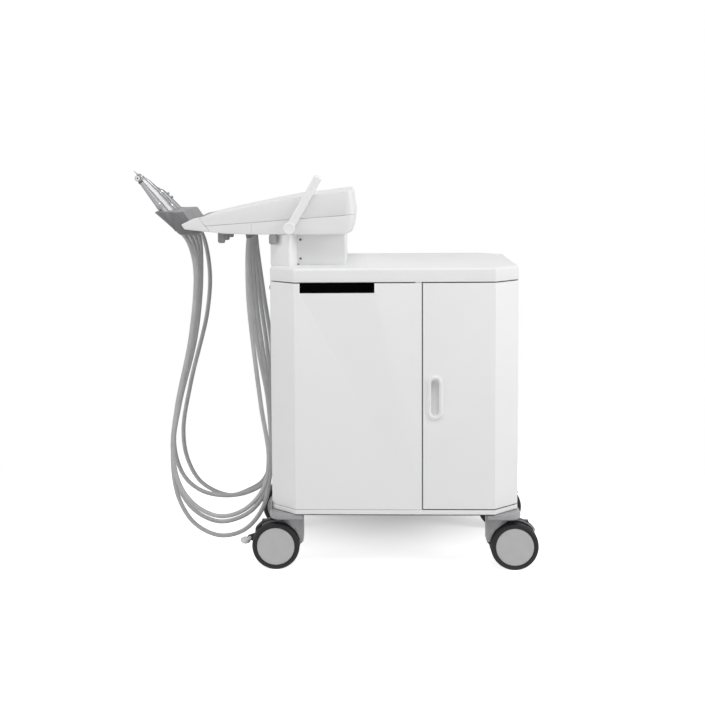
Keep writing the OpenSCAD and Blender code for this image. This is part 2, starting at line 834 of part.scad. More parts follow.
module positioning_arm() {
  bevel = 3;
  color([0.95, 0.95, 0.95]) at_cabinet() difference() {
    translate([pivot_x, 0, pivot_z]) rotate([0, -arm_tilt, 0]) union() {
      slab_y(arm_y0 + bevel, arm_y1) {
        circle(r = arm_w / 2);
        translate([0, -arm_w / 2]) square([arm_len, arm_w]);
      }
      slab_y(arm_y0, arm_y0 + bevel + eps) {
        circle(r = arm_w / 2 - bevel);
        translate([0, -arm_w / 2 + bevel]) square([arm_len, arm_w - 2 * bevel]);
      }
    }
    translate([pivot_x, 0, pivot_z]) rotate([90, 0, 0]) cylinder(r = pivot_pin_r + run, h = 2 * cab_d);
  }
}

module arm_pivot() {
  cap_t = 4;
  color([0.95, 0.95, 0.95]) at_cabinet() translate([pivot_x, 0, pivot_z]) {
    translate([0, arm_y0 - gap, 0]) rotate([90, 0, 0]) cylinder(r = pivot_r, h = cap_t);
    translate([0, arm_y0 - gap - cap_t, 0]) rotate([-90, 0, 0])
      cylinder(r = pivot_pin_r, h = arm_t + cap_t + 13);
  }
}

// Knobs under the head

module knob_shape(r, h) {
  rotate_extrude($fn = 48) polygon([[0, 0], [r - 2, 0], [r, 2], [r, h - 1], [r - 1, h], [0, h]]);
  translate([0, 0, h - 1]) cylinder(r = knob_pin_r, h = 7, $fn = 40);
  // Pointer rib
  box([-r - 0.8, -1, 2], [0, 1, h - 1]);
}

module flow_knob(i) {
  color(mid_grey) at_cabinet() translate([knob_x, knob_y[i], front_under(knob_x) - knob_h - gap])
    knob_shape(knob_r, knob_h);
}

function front_under(x) = head_z + 0.6 + (joint_x - x) * 2.2 / (joint_x + half_w + 96);

module selector_knob() {
  h = 20;
  color(mid_grey) at_cabinet() translate([selector_at.x, selector_at.y, head_z - h - gap])
    knob_shape(selector_r, h);
}

// Instrument holder and instruments

holder_outline = [
  [-half_w - 245, head_z + 46.6], [-half_w - 189.6, head_z - 1.4], [-half_w - 154, head_z - 2.2],
  [holder_x1, head_z + 5.7], [holder_x1, head_z + 25.6], [-half_w - 167, head_z + 25.6],
  [-half_w - 183, head_z + 48.7], [-half_w - 212, head_z + 47.8], [-half_w - 240, head_z + 49.1]
];

// An instrument's own frame: the mouth of its slot at the origin, Z along the instrument
module along_instrument(i) {
  at_cabinet() translate([mouth_x, (i - 2) * pitch, mouth_z]) rotate([0, slope(i) - 90, 0]) children();
}

module instrument_holder() {
  r = grip_r + gap;
  round_r = 22;
  color(dark_grey) difference() {
    at_cabinet() intersection() {
      slab_y(-holder_w / 2, holder_w / 2) polygon(holder_outline);
      linear_extrude(3 * head_z) union() {
        plate([-half_w - 246, -holder_w / 2 + round_r], [holder_x1, holder_w / 2 - round_r]);
        plate([-half_w - 246 + round_r, -holder_w / 2], [holder_x1, holder_w / 2]);
        for (s = [-1, 1])
          translate([-half_w - 246 + round_r, s * (holder_w / 2 - round_r)]) circle(round_r);
      }
    }
    for (i = [0 : 4]) along_instrument(i) {
      translate([0, 0, -100]) cylinder(r = r, h = 160);
      box([-40, -r, -100], [0, r, 60]);
    }
  }
}

// Lathe-turned handle from radius and height pairs
module turned(profile) {
  top = profile[len(profile) - 1].y;
  rotate_extrude($fn = 48) polygon(concat([[0, profile[0].y]], profile, [[0, top]]));
}

// High-speed turbine with its head turned to the near side
module turbine() {
  neck = 82;
  head_at = 94;
  color(steel) along_instrument(0) {
    turned([[tail_r, -tail_len], [grip_r, -tail_len + 3], [grip_r, 6], [7.6, 20], [6.2, 52],
            [4.4, neck], [4.2, head_at]]);
    translate([0, 0, head_at + 3]) rotate([90, 0, 0]) {
      cylinder(r = 5.6, h = 12, center = true, $fn = 48);
      translate([0, 0, 6]) cylinder(r = 4.4, h = 1.5, $fn = 48);
      translate([0, 0, -12]) cylinder(r = 0.8, h = 7, $fn = 24);
    }
  }
}

// Low-speed motor with a contra-angle
module contra_angle() {
  color(steel) along_instrument(2) {
    turned([[tail_r, -tail_len], [grip_r, -tail_len + 3], [grip_r, 4], [8.2, 30], [7.8, 40],
            [5.6, 66], [3.8, 84], [3.8, 90]]);
    translate([0, 0, 92]) rotate([0, -15, 0]) {
      translate([0, 0, -2]) cylinder(r = 3.6, h = 10, $fn = 40);
      translate([0, 0, 9]) rotate([90, 0, 0]) cylinder(r = 4.6, h = 11, center = true, $fn = 40);
      translate([0, 5, 9]) rotate([-90, 0, 0]) cylinder(r = 0.9, h = 8, $fn = 24);
    }
  }
}

// Low-speed straight handpiece
module straight_handpiece() {
  color(steel) along_instrument(3)
    turned([[tail_r, -tail_len], [grip_r, -tail_len + 3], [grip_r, 6], [7.6, 10], [7.6, 44],
            [6.6, 46], [6.6, 60], [4.0, 86], [2.6, 88], [2.6, 92], [1.2, 92], [1.2, 101]]);
}

// Ultrasonic scaler with a thin tip
module scaler() {
  color([0.8, 0.8, 0.8]) along_instrument(scaler_i)
    turned([[tail_r, -tail_len], [grip_r, -tail_len + 3], [grip_r, 10], [7.9, 50], [6.6, 72],
            [3.4, 84], [3.4, 90], [1.6, 92], [1.3, 100], [scaler_tip_r, scaler_len]]);
}

button_r = 2.6;
button_s = [24, 36];
button_stroke = 2;

// Three-way air and water syringe with a bent nozzle
module syringe() {
  elbow = 64;
  nozzle_r = 1.8;
  color(steel) along_instrument(4) difference() {
    union() {
      turned([[tail_r, -tail_len], [grip_r, -tail_len + 3], [grip_r, 46], [6.8, 52],
              [4.2, 56], [4.2, 60], [nozzle_r, 61], [nozzle_r, elbow]]);
      translate([0, 0, elbow]) sphere(r = nozzle_r + 0.5, $fn = 24);
      translate([0, 0, elbow]) rotate([0, -28, 0]) cylinder(r = nozzle_r, h = 24, $fn = 32);
    }
    for (s = button_s)
      translate([0, 0, s]) rotate([0, 90, 0]) cylinder(r = button_r + run, h = 2 * grip_r, $fn = 40);
  }
}

// A push button on the top of the syringe, pressed towards its axis
module button(i, tint) {
  head_at = grip_r + button_stroke + gap;
  color(tint) along_instrument(4) translate([0, 0, button_s[i]]) rotate([0, 90, 0]) {
    translate([0, 0, button_stroke + 1]) cylinder(r = button_r, h = head_at - button_stroke - 1, $fn = 40);
    translate([0, 0, head_at]) cylinder(r = button_r + 0.9, h = 1.6, $fn = 40);
  }
}

// Hoses

gland_x = -half_w - 48;
gland_l = 14;
gland_half = 2 * pitch + 14;
gland_drop = 10;
hose_r = hose_d / 2;
hose_sides = 8;
hose_lead = 30;   // straight stretch of a hose below its instrument
hose_gap = 0.05;  // between a hose's end and its instrument

// Row of glands under the head, one for each hose
module gland_plate() {
  color(dark_grey) at_cabinet() {
    box([gland_x - gland_l / 2, -gland_half, head_z - 1], [gland_x + gland_l / 2, gland_half, head_z + 6]);
    for (i = [0 : 4]) translate([gland_x, (i - 2) * pitch, head_z - gland_drop])
      rotate_extrude($fn = 40) polygon([[0, 0], [5.2, 0], [6.4, 7], [6.4, gland_drop], [0, gland_drop]]);
  }
}

// Routes of the hoses: the distance from the cabinet's front wall, then the height for a
// head whose underside is at route_z. Each hose hangs in the plane of its own instrument.
route_z = 702;
route_turbine = [
  [-51, 650], [-50, 560], [-41, 461], [-26, 331], [-11, 215], [-25, 147], [-66, 103],
  [-118, 89], [-170, 112], [-205, 160], [-218, 235], [-207, 331], [-174, 487], [-163, 629]
];
route_scaler = [
  [-50, 650], [-46, 559], [-35, 454], [-13, 322], [-11, 175], [-30, 92], [-71, 45],
  [-124, 33], [-177, 58], [-211, 110], [-225, 188], [-213, 322], [-177, 481], [-163, 625]
];
route_contra_angle = [
  [-48, 650], [-42, 554], [-29, 447], [-12, 313], [-12, 170], [-38, 98], [-74, 65],
  [-129, 51], [-182, 74], [-218, 125], [-231, 202], [-219, 313], [-180, 474], [-165, 621]
];
route_straight = [
  [-46, 650], [-36, 548], [-22, 440], [-12, 304], [-12, 194], [-30, 131], [-64, 108],
  [-118, 98], [-174, 109], [-214, 144], [-235, 215], [-222, 304], [-181, 468], [-167, 616]
];
route_syringe = [
  [-44, 650], [-30, 543], [-15, 433], [-12, 310], [-12, 200], [-36, 124], [-68, 101],
  [-116, 87], [-179, 116], [-211, 171], [-220, 239], [-201, 350], [-160, 516], [-154, 612]
];

// A place on the axis of instrument i, at a distance below the mouth of its slot
function below_mouth(i, s) = [mouth_x + s * cos(slope(i)), (i - 2) * pitch, mouth_z - s * sin(slope(i))];

// A tube along points p, square to the path, as one closed polyhedron
module swept_tube(p, r, sides) {
  n = len(p);
  function tangent(i) = unit(i == 0 ? p[1] - p[0] : i == n - 1 ? p[n - 1] - p[n - 2]
                             : unit(p[i + 1] - p[i]) + unit(p[i] - p[i - 1]));
  function ring(i) = let (t = tangent(i), u = unit(cross([0, 1, 0], t)), v = cross(t, u))
    [for (k = [0 : sides - 1]) p[i] + r * (cos(k * 360 / sides) * u + sin(k * 360 / sides) * v)];
  points = [for (i = [0 : n - 1]) each ring(i)];
  side_faces = [for (i = [0 : n - 2], k = [0 : sides - 1])
    [i * sides + k, i * sides + (k + 1) % sides, (i + 1) * sides + (k + 1) % sides, (i + 1) * sides + k]];
  polyhedron(points, concat(
    [[for (k = [sides - 1 : -1 : 0]) k]], side_faces, [[for (k = [0 : sides - 1]) (n - 1) * sides + k]]));
}

module hose(i, route) {
  y = (i - 2) * pitch;
  path = concat(
    [[gland_x, y, head_z - gland_drop]],
    [for (q = route) [q.x - half_w, y, q.y * head_z / route_z]],
    [below_mouth(i, tail_len + hose_lead), below_mouth(i, tail_len + hose_gap)]);
  color(hose_grey) at_cabinet() swept_tube(path, hose_r, hose_sides);
}

base_tray();
inner_frame();
side_panel_near();
side_panel_far();
front_panel();
rear_panel();
vent_insert();
panel_screws();
mains_inlet();
worktop();
door();
door_pull();
door_catch();
hinge_frame_side();
hinge_door_side();
compressor();
air_tank();
water_bottle();
control_block();
caster_brackets();
fork(-1, -1, true);  // fork_front_near
fork(-1, 1, true);  // fork_front_far
fork(1, -1, false);  // fork_rear_near
fork(1, 1, false);  // fork_rear_far
tyre(-1, -1);  // tyre_front_near
tyre(-1, 1);  // tyre_front_far
tyre(1, -1);  // tyre_rear_near
tyre(1, 1);  // tyre_rear_far
hub(-1, -1);  // hub_front_near
hub(-1, 1);  // hub_front_far
hub(1, -1);  // hub_rear_near
hub(1, 1);  // hub_rear_far
brake_pedal(-1);  // brake_pedal_near
brake_pedal(1);  // brake_pedal_far
pedestal_shroud();
pedestal_box();
head_top();
head_lower_rear();
head_lower_front();
head_nose();
positioning_arm();
arm_pivot();
instrument_holder();
gland_plate();
flow_knob(0);  // flow_knob_near
flow_knob(1);  // flow_knob_middle
flow_knob(2);  // flow_knob_far
selector_knob();
turbine();
scaler();
contra_angle();
straight_handpiece();
syringe();
button(0, [0.2, 0.45, 0.75]);  // air_button
button(1, [0.3, 0.6, 0.3]);  // water_button
hose(0, route_turbine);  // hose_turbine
hose(1, route_scaler);  // hose_scaler
hose(2, route_contra_angle);  // hose_contra_angle
hose(3, route_straight);  // hose_straight
hose(4, route_syringe);  // hose_syringe
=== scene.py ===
"""Portable dental unit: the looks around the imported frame, in metres."""
from math import atan2, cos, hypot, pi, radians, sin, sqrt, tan

import bmesh
import bpy
from mathutils import Matrix, Vector
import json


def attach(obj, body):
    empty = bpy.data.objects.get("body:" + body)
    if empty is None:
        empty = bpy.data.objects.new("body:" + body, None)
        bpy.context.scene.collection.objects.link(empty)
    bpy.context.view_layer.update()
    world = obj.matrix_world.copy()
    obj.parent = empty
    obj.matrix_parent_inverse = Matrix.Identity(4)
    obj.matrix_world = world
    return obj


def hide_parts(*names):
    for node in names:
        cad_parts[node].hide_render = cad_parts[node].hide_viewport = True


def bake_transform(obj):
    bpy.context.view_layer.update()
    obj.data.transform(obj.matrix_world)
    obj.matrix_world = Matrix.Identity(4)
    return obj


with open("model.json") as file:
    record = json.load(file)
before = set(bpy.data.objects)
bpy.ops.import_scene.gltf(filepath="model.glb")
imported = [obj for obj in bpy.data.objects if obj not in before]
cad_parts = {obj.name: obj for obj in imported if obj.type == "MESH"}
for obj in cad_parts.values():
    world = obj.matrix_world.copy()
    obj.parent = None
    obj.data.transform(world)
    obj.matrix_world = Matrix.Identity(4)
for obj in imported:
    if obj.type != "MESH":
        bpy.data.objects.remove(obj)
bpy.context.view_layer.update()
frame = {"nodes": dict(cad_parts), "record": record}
NODES = frame["nodes"]
BODY = {n: b for b, ns in frame["record"]["behaviour"]["bodies"].items() for n in ns}

CAB = 0.128715      # the cabinet's middle in X
HW = 0.258          # half of its width in X
HEAD_Z = 0.7019     # the head's underside
PITCH = 48          # mm from one instrument to the next


def P(x, y, z):
    """A point given in millimetres from the cabinet's middle."""
    return Vector((x / 1000 + CAB, y / 1000, z / 1000))


# ---- camera

PHOTO_PX = 705
FOCAL_PX = 1367.3479
CENTRE_PX = (304.0352, 282.3085)
EYE = (-63.8174, -2985.3187, 875.2577)      # mm from the cabinet's middle
ANGLES = (5.4945, -2.4874, -0.5004)         # pitch, yaw and roll in degrees
SENSOR = 36                                 # mm


def make_camera():
    cam = bpy.data.objects.new("camera", bpy.data.cameras.new("camera"))
    bpy.context.scene.collection.objects.link(cam)
    pitch, yaw, roll = map(radians, ANGLES)
    ahead = Vector((sin(yaw) * cos(pitch), cos(yaw) * cos(pitch), -sin(pitch)))
    right = Vector((cos(yaw), -sin(yaw), 0))
    up = right.cross(ahead)
    rolled_right = right * cos(roll) + up * sin(roll)
    rolled_up = up * cos(roll) - right * sin(roll)
    m = Matrix((rolled_right, rolled_up, -ahead)).transposed().to_4x4()
    m.translation = P(*EYE)
    cam.matrix_world = m
    cam.data.sensor_width = SENSOR
    cam.data.lens = FOCAL_PX / PHOTO_PX * SENSOR
    cam.data.shift_x = (PHOTO_PX / 2 - CENTRE_PX[0]) / PHOTO_PX
    cam.data.shift_y = (CENTRE_PX[1] - PHOTO_PX / 2) / PHOTO_PX
    cam.data.clip_start, cam.data.clip_end = 0.05, 60
    bpy.context.scene.camera = cam


make_camera()

# ---- mesh helpers

def finish_mesh(name, bm, body, mats, smooth=35, replaces=()):
    """Turns a bmesh into a piece that rides on a body, smooth up to an angle."""
    bmesh.ops.recalc_face_normals(bm, faces=bm.faces)
    limit = radians(smooth)
    for f in bm.faces:
        f.smooth = True
    for e in bm.edges:
        e.smooth = len(e.link_faces) == 2 and e.calc_face_angle(0) < limit
    me = bpy.data.meshes.new(name)
    bm.to_mesh(me)
    bm.free()
    ob = bpy.data.objects.new(name, me)
    bpy.context.scene.collection.objects.link(ob)
    for m in mats if isinstance(mats, (list, tuple)) else [mats]:
        me.materials.append(m)
    if body:
        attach(ob, body)
    if replaces:
        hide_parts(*replaces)
    return ob


def skin(node, bm, mats, smooth=40):
    """A piece that stands for one CAD node, on its body and with its slot."""
    return finish_mesh(node + ".skin", bm, BODY[node], mats, smooth, (node,))


def vectors(*pairs):
    return [Vector(p) for p in pairs]


def between(a, b, ta, tb, u):
    return a * ((tb - u) / (tb - ta)) + b * ((u - ta) / (tb - ta))


def smooth_path(points, step=0.004):
    """A centripetal curve through the points, resampled at even steps."""
    p = [Vector(q) for q in points]
    p = [p[0] * 2 - p[1]] + p + [p[-1] * 2 - p[-2]]
    out = []
    for i in range(1, len(p) - 2):
        t = [0.0]
        for k in range(3):
            t.append(t[-1] + max((p[i + k] - p[i + k - 1]).length, 1e-6) ** 0.5)
        n = max(int((p[i + 1] - p[i]).length / 0.002), 2)
        for j in range(n):
            u = t[1] + (t[2] - t[1]) * j / n
            a1 = between(p[i - 1], p[i], t[0], t[1], u)
            a2 = between(p[i], p[i + 1], t[1], t[2], u)
            a3 = between(p[i + 1], p[i + 2], t[2], t[3], u)
            b1 = between(a1, a2, t[0], t[2], u)
            b2 = between(a2, a3, t[1], t[3], u)
            out.append(between(b1, b2, t[1], t[2], u))
    out.append(p[-2].copy())
    length = sum((b - a).length for a, b in zip(out, out[1:]))
    n = max(int(length / step), 2)
    even, k, run = [out[0].copy()], 0, 0.0
    for j in range(1, n):
        want = length * j / n
        while run + (out[k + 1] - out[k]).length < want:
            run += (out[k + 1] - out[k]).length
            k += 1
        even.append(out[k].lerp(out[k + 1], (want - run) / (out[k + 1] - out[k]).length))
    even.append(out[-1].copy())
    return even, length


def tube(bm, path, radius, sides):
    """A round tube along a path, with flat ends."""
    rings, n = [], len(path)
    for i, q in enumerate(path):
        t = (path[min(i + 1, n - 1)] - path[max(i - 1, 0)]).normalized()
        u = Vector((0, 1, 0)).cross(t).normalized()
        v = t.cross(u)
        turns = (2 * pi * k / sides for k in range(sides))
        rings.append([q + u * (radius * cos(a)) + v * (radius * sin(a)) for a in turns])
    loft(bm, rings)


class Outline(list):
    """A rounded outline that also keeps its corners, so that it can be drawn again further in."""
    corners, radii, seg, share = (), (), 5, ()


def shift(points, reach):
    """An anticlockwise outline with each side moved inwards by its own reach."""
    out, n = [], len(points)
    for i in range(n):
        p, a, b = Vector(points[i]), Vector(points[i - 1]), Vector(points[(i + 1) % n])
        e1, e2 = (p - a).normalized(), (b - p).normalized()
        u, v = Vector((-e1.y, e1.x)), Vector((-e2.y, e2.x))
        d1, d2, c = reach[i - 1], reach[i], u.dot(v)
        if abs(d1 - d2) < 1e-9:
            out.append(p + (u + v) * (d1 / max(1 + c, 0.35)))
        else:
            out.append(p + (u * (d1 - d2 * c) + v * (d2 - d1 * c)) / max(1 - c * c, 0.12))
    return out


def offset(points, d):
    """An anticlockwise outline with each side moved inwards by its share of d."""
    if not isinstance(points, Outline):
        return shift(points, [d] * len(points))
    n = len(points.corners)
    share = points.share or [1.0] * n
    inner = shift(points.corners, [d * k for k in share])
    radii = []
    for i in range(n):
        e1 = points.corners[i] - points.corners[i - 1]
        e2 = points.corners[(i + 1) % n] - points.corners[i]
        turn = d * (share[i] + share[i - 1]) / 2 * (1 if e1.cross(e2) > 0 else -1)
        radii.append(max(points.radii[i] - turn, 0.04) if points.radii[i] > 0 else 0)
    return fillet(inner, radii, points.seg)


def fillet(points, radius, seg=5):
    """Rounds the corners of an outline; radius is a number or one for each corner."""
    out, n = Outline(), len(points)
    out.corners, out.seg = [Vector(p) for p in points], seg
    out.radii = list(radius) if isinstance(radius, (list, tuple)) else [radius] * n
    for i in range(n):
        r = out.radii[i]
        p, a, b = Vector(points[i]), Vector(points[i - 1]), Vector(points[(i + 1) % n])
        e1, e2 = (a - p), (b - p)
        ang = e1.angle(e2)
        if r <= 0:
            out.append(p)
            continue
        if ang > radians(179):
            out += [p] * (seg + 1)
            continue
        t = min(r / tan(ang / 2), e1.length * 0.48, e2.length * 0.48)
        r = t * tan(ang / 2)
        p1, p2 = p + e1.normalized() * t, p + e2.normalized() * t
        c = p + (e1.normalized() + e2.normalized()).normalized() * (r / sin(ang / 2))
        a1 = atan2(p1.y - c.y, p1.x - c.x)
        a2 = atan2(p2.y - c.y, p2.x - c.x)
        da = (a2 - a1 + pi) % (2 * pi) - pi
        for k in range(seg + 1):
            w = a1 + da * k / seg
            out.append(Vector((c.x + r * cos(w), c.y + r * sin(w))))
    return out


def loft(bm, rings):
    """Joins rings of points, each of the same count, and closes the two ends."""
    vs = [[bm.verts.new(p) for p in ring] for ring in rings]
    n = len(vs[0])
    for a, b in zip(vs, vs[1:]):
        for k in range(n):
            bm.faces.new((a[k], a[(k + 1) % n], b[(k + 1) % n], b[k]))
    bm.faces.new(vs[0][::-1])
    bm.faces.new(vs[-1])


def steps(lo, hi, r, seg=4, r2=None):
    """Pairs of place and inset for a rounded slab from lo to hi."""
    r2 = r if r2 is None else r2
    out = []
    for k in range(seg + 1):
        a = pi / 2 * k / seg
        out.append((lo + r * (1 - cos(a)), r * (1 - sin(a))))
    for k in range(seg + 1):
        a = pi / 2 * k / seg
        out.append((hi - r2 * (1 - sin(a)), r2 * (1 - cos(a))))
    return out


def slab_z(bm, outline, z0, z1, r=0.5, seg=3, r2=None):
    """An outline in plan, in mm, from z0 to z1 with rounded edges."""
    loft(bm, [[P(q.x, q.y, z) for q in offset(outline, d)] for z, d in steps(z0, z1, r, seg, r2)])


def slab_y(bm, outline, y0, y1, r=0.5, seg=3, squeeze=None, extra=()):
    """An outline in X-Z, in mm, from y0 to y1; squeeze(x, y) moves points along X."""
    rows = steps(y0, y1, r, seg) + [(y, 0.0) for y in extra]
    rows.sort()
    rings = []
    for y, d in rows:
        ring = []
        for q in offset(outline, d):
            x = squeeze(q.x, y) if squeeze else q.x
            ring.append(P(x, y, q.y))
        rings.append(ring)
    loft(bm, rings)


def slab_x(bm, outline, x0, x1, r=0.5, seg=3):
    """An outline in Y-Z, in mm, from x0 to x1."""
    loft(bm, [[P(x, q.x, q.y) for q in offset(outline, d)] for x, d in steps(x0, x1, r, seg)])


def rect(x0, y0, x1, y1, r=0.0, seg=4):
    pts = vectors((x0, y0), (x1, y0), (x1, y1), (x0, y1))
    return fillet(pts, r, seg) if r > 0 else pts


def stadium(w, h, cx=0.0, cy=0.0, seg=14):
    r = w / 2
    pts = []
    for s, a0 in ((-1, pi), (1, 0.0)):
        for k in range(seg + 1):
            a = a0 + pi * k / seg
            pts.append(Vector((cx + r * cos(a), cy + s * (h / 2 - r) + r * sin(a))))
    return pts


def lathe(bm, profile, m=None, seg=48, mod=None, closed=False):
    """Radius and height pairs, in mm, turned round Z and placed by the matrix m, in metres.

    A closed profile makes a ring; any other has a flat face over each open end."""
    m = m or Matrix.Identity(4)
    rings = []
    for r, z in profile:
        if r < 1e-6:
            rings.append([bm.verts.new(m @ Vector((0, 0, z / 1000)))])
            continue
        ring = []
        for k in range(seg):
            a = 2 * pi * k / seg
            q = mod(r, z, a) if mod else r
            ring.append(bm.verts.new(m @ Vector((q * cos(a) / 1000, q * sin(a) / 1000, z / 1000))))
        rings.append(ring)
    for a, b in zip(rings, rings[1:] + (rings[:1] if closed else [])):
        if len(a) == 1 and len(b) == 1:
            continue
        for k in range(seg):
            j = (k + 1) % seg
            if len(a) == 1:
                bm.faces.new((a[0], b[j], b[k]))
            elif len(b) == 1:
                bm.faces.new((a[k], a[j], b[0]))
            else:
                bm.faces.new((a[k], a[j], b[j], b[k]))
    for ring, flip in ((rings[0], True), (rings[-1], False)):
        if len(ring) > 1 and not closed:
            bm.faces.new(ring[::-1] if flip else ring)


def round_off(profile, r, seg=3):
    """Rounds the inner corners of a lathe profile given as radius and height pairs."""
    pts = [Vector(p) for p in profile]
    out = [pts[0]]
    for i in range(1, len(pts) - 1):
        p, a, b = pts[i], pts[i - 1], pts[i + 1]
        e1, e2 = a - p, b - p
        if e1.length < 1e-6 or e2.length < 1e-6 or e1.angle(e2) > radians(172):
            out.append(p)
            continue
        t = min(r, e1.length * 0.45, e2.length * 0.45)
        p1, p2 = p + e1.normalized() * t, p + e2.normalized() * t
        for k in range(seg + 1):
            w = k / seg
            out.append(p1 * (1 - w) ** 2 + p * (2 * w * (1 - w)) + p2 * w ** 2)
    out.append(pts[-1])
    return [(q.x, q.y) for q in out]


def aim(origin, z_axis, x_hint=(1, 0, 0)):
    """A matrix at origin with its Z along z_axis."""
    z = Vector(z_axis).normalized()
    x = (Vector(x_hint) - z * z.dot(Vector(x_hint))).normalized()
    m = Matrix((x, z.cross(x), z)).transposed().to_4x4()
    m.translation = origin
    return m


def boolean(bm, cutter):
    """bm with cutter taken away, as a new bmesh."""
    obs = []
    for k, b in enumerate((bm, cutter)):
        bmesh.ops.recalc_face_normals(b, faces=b.faces)
        me = bpy.data.meshes.new("tmp%d" % k)
        b.to_mesh(me)
        b.free()
        ob = bpy.data.objects.new("tmp%d" % k, me)
        bpy.context.scene.collection.objects.link(ob)
        obs.append(ob)
    mod = obs[0].modifiers.new("cut", "BOOLEAN")
    mod.operation, mod.object, mod.solver = "DIFFERENCE", obs[1], "EXACT"
    dg = bpy.context.evaluated_depsgraph_get()
    me = bpy.data.meshes.new_from_object(obs[0].evaluated_get(dg))
    out = bmesh.new()
    out.from_mesh(me)
    for ob in obs:
        old = ob.data
        bpy.data.objects.remove(ob)
        bpy.data.meshes.remove(old)
    bpy.data.meshes.remove(me)
    bmesh.ops.remove_doubles(out, verts=out.verts, dist=1e-6)
    return out


def soften(bm, width, seg, low):
    """Rounds the edges whose faces turn by more than low degrees; width in mm."""
    edges = [e for e in bm.edges if len(e.link_faces) == 2
             and radians(low) < e.calc_face_angle(0) < pi]
    if edges:
        bmesh.ops.bevel(bm, geom=edges, offset=width / 1000, offset_type="OFFSET", segments=seg,
                        profile=0.5, affect="EDGES", clamp_overlap=True)


def dress(node, mats, width=0.4, seg=2, low=25, smooth=35, cutter=None):
    """A copy of a CAD node with clean faces and rounded edges, which stands for the node."""
    bm = bmesh.new()
    bm.from_mesh(NODES[node].data)
    bmesh.ops.remove_doubles(bm, verts=bm.verts, dist=2e-6)
    bmesh.ops.dissolve_limit(bm, angle_limit=radians(2), verts=bm.verts, edges=bm.edges,
                             use_dissolve_boundaries=False)
    if cutter:
        bm = boolean(bm, cutter)
    if width:
        soften(bm, width, seg, low)
    return skin(node, bm, mats, smooth)


# ---- materials

def add_node(nt, kind, values=(), **settings):
    """A shader node with its settings and the values of its inputs."""
    node = nt.nodes.new("ShaderNode" + kind)
    for key, value in settings.items():
        setattr(node, key, value)
    for key, value in dict(values).items():
        node.inputs[key].default_value = value
    return node


def material(name, color, rough=0.4, metal=0.0, grain=(900, 0.02), vary=(25, 0.02), rough_vary=(60, 0.05),
             stretch=(1, 1, 1), coat=0.0, spec=0.5, scratch=0.0, dirt=None, trans=0.0, edge=1.0):
    """A procedural finish. grain is scale and depth in mm; vary and rough_vary are scale and amount."""
    m = bpy.data.materials.new(name)
    m.use_nodes = True
    nt = m.node_tree
    link = nt.links.new
    b = nt.nodes["Principled BSDF"]
    for key, value in (("Metallic", metal), ("Specular IOR Level", spec), ("Coat Weight", coat),
                       ("Coat Roughness", 0.15), ("Transmission Weight", trans),
                       ("Specular Tint", (edge, edge, edge, 1))):
        b.inputs[key].default_value = value
    tex = add_node(nt, "TexCoord")
    mapping = add_node(nt, "Mapping", {"Scale": stretch})
    link(tex.outputs["Object"], mapping.inputs["Vector"])

    def noise_at(scale, detail=2.0, source=mapping):
        n = add_node(nt, "TexNoise", {"Scale": scale, "Detail": detail})
        link(source.outputs[0], n.inputs["Vector"])
        return n.outputs[0]

    def remap(src, lo, hi, a=0.3, z=0.7):
        r = add_node(nt, "MapRange", {"From Min": a, "From Max": z, "To Min": lo, "To Max": hi})
        link(src, r.inputs["Value"])
        return r.outputs["Result"]

    def mix(fac, a, z):
        x = add_node(nt, "Mix", data_type="RGBA")
        link(fac, x.inputs["Factor"])
        for value, socket in ((a, x.inputs[6]), (z, x.inputs[7])):
            if isinstance(value, tuple):
                socket.default_value = (*value, 1)
            else:
                link(value, socket)
        return x.outputs[2]

    def bump_of(height, depth):
        n = add_node(nt, "Bump", {"Distance": depth / 1000, "Strength": 1.0})
        link(height, n.inputs["Height"])
        return n

    low = tuple(c * (1 - vary[1]) for c in color)
    high = tuple(min(c * (1 + vary[1]), 1) for c in color)
    base = mix(remap(noise_at(vary[0], 3), 0, 1), low, high)
    if dirt:
        z0, z1, tint, amount = dirt
        split = add_node(nt, "SeparateXYZ")
        link(tex.outputs["Object"], split.inputs[0])
        both = add_node(nt, "Math", operation="MULTIPLY")
        link(remap(split.outputs["Z"], amount, 0, z0, z1), both.inputs[0])
        link(remap(noise_at(140, 4), 0.3, 1.2), both.inputs[1])
        base = mix(both.outputs[0], base, tint)
    link(base, b.inputs["Base Color"])
    lowest = max(rough - rough_vary[1], 0.02)
    link(remap(noise_at(rough_vary[0], 3), lowest, rough + rough_vary[1]), b.inputs["Roughness"])
    bump = bump_of(noise_at(grain[0], 2), grain[1])
    if scratch:
        lines = add_node(nt, "Mapping", {"Scale": (6, 260, 260), "Rotation": (0.2, 0.3, 0.6)})
        link(tex.outputs["Object"], lines.inputs["Vector"])
        fine = bump_of(remap(noise_at(3.0, 4, lines), 1, 0, 0.32, 0.40), scratch)
        link(bump.outputs[0], fine.inputs["Normal"])
        bump = fine
    link(bump.outputs[0], b.inputs["Normal"])
    return m


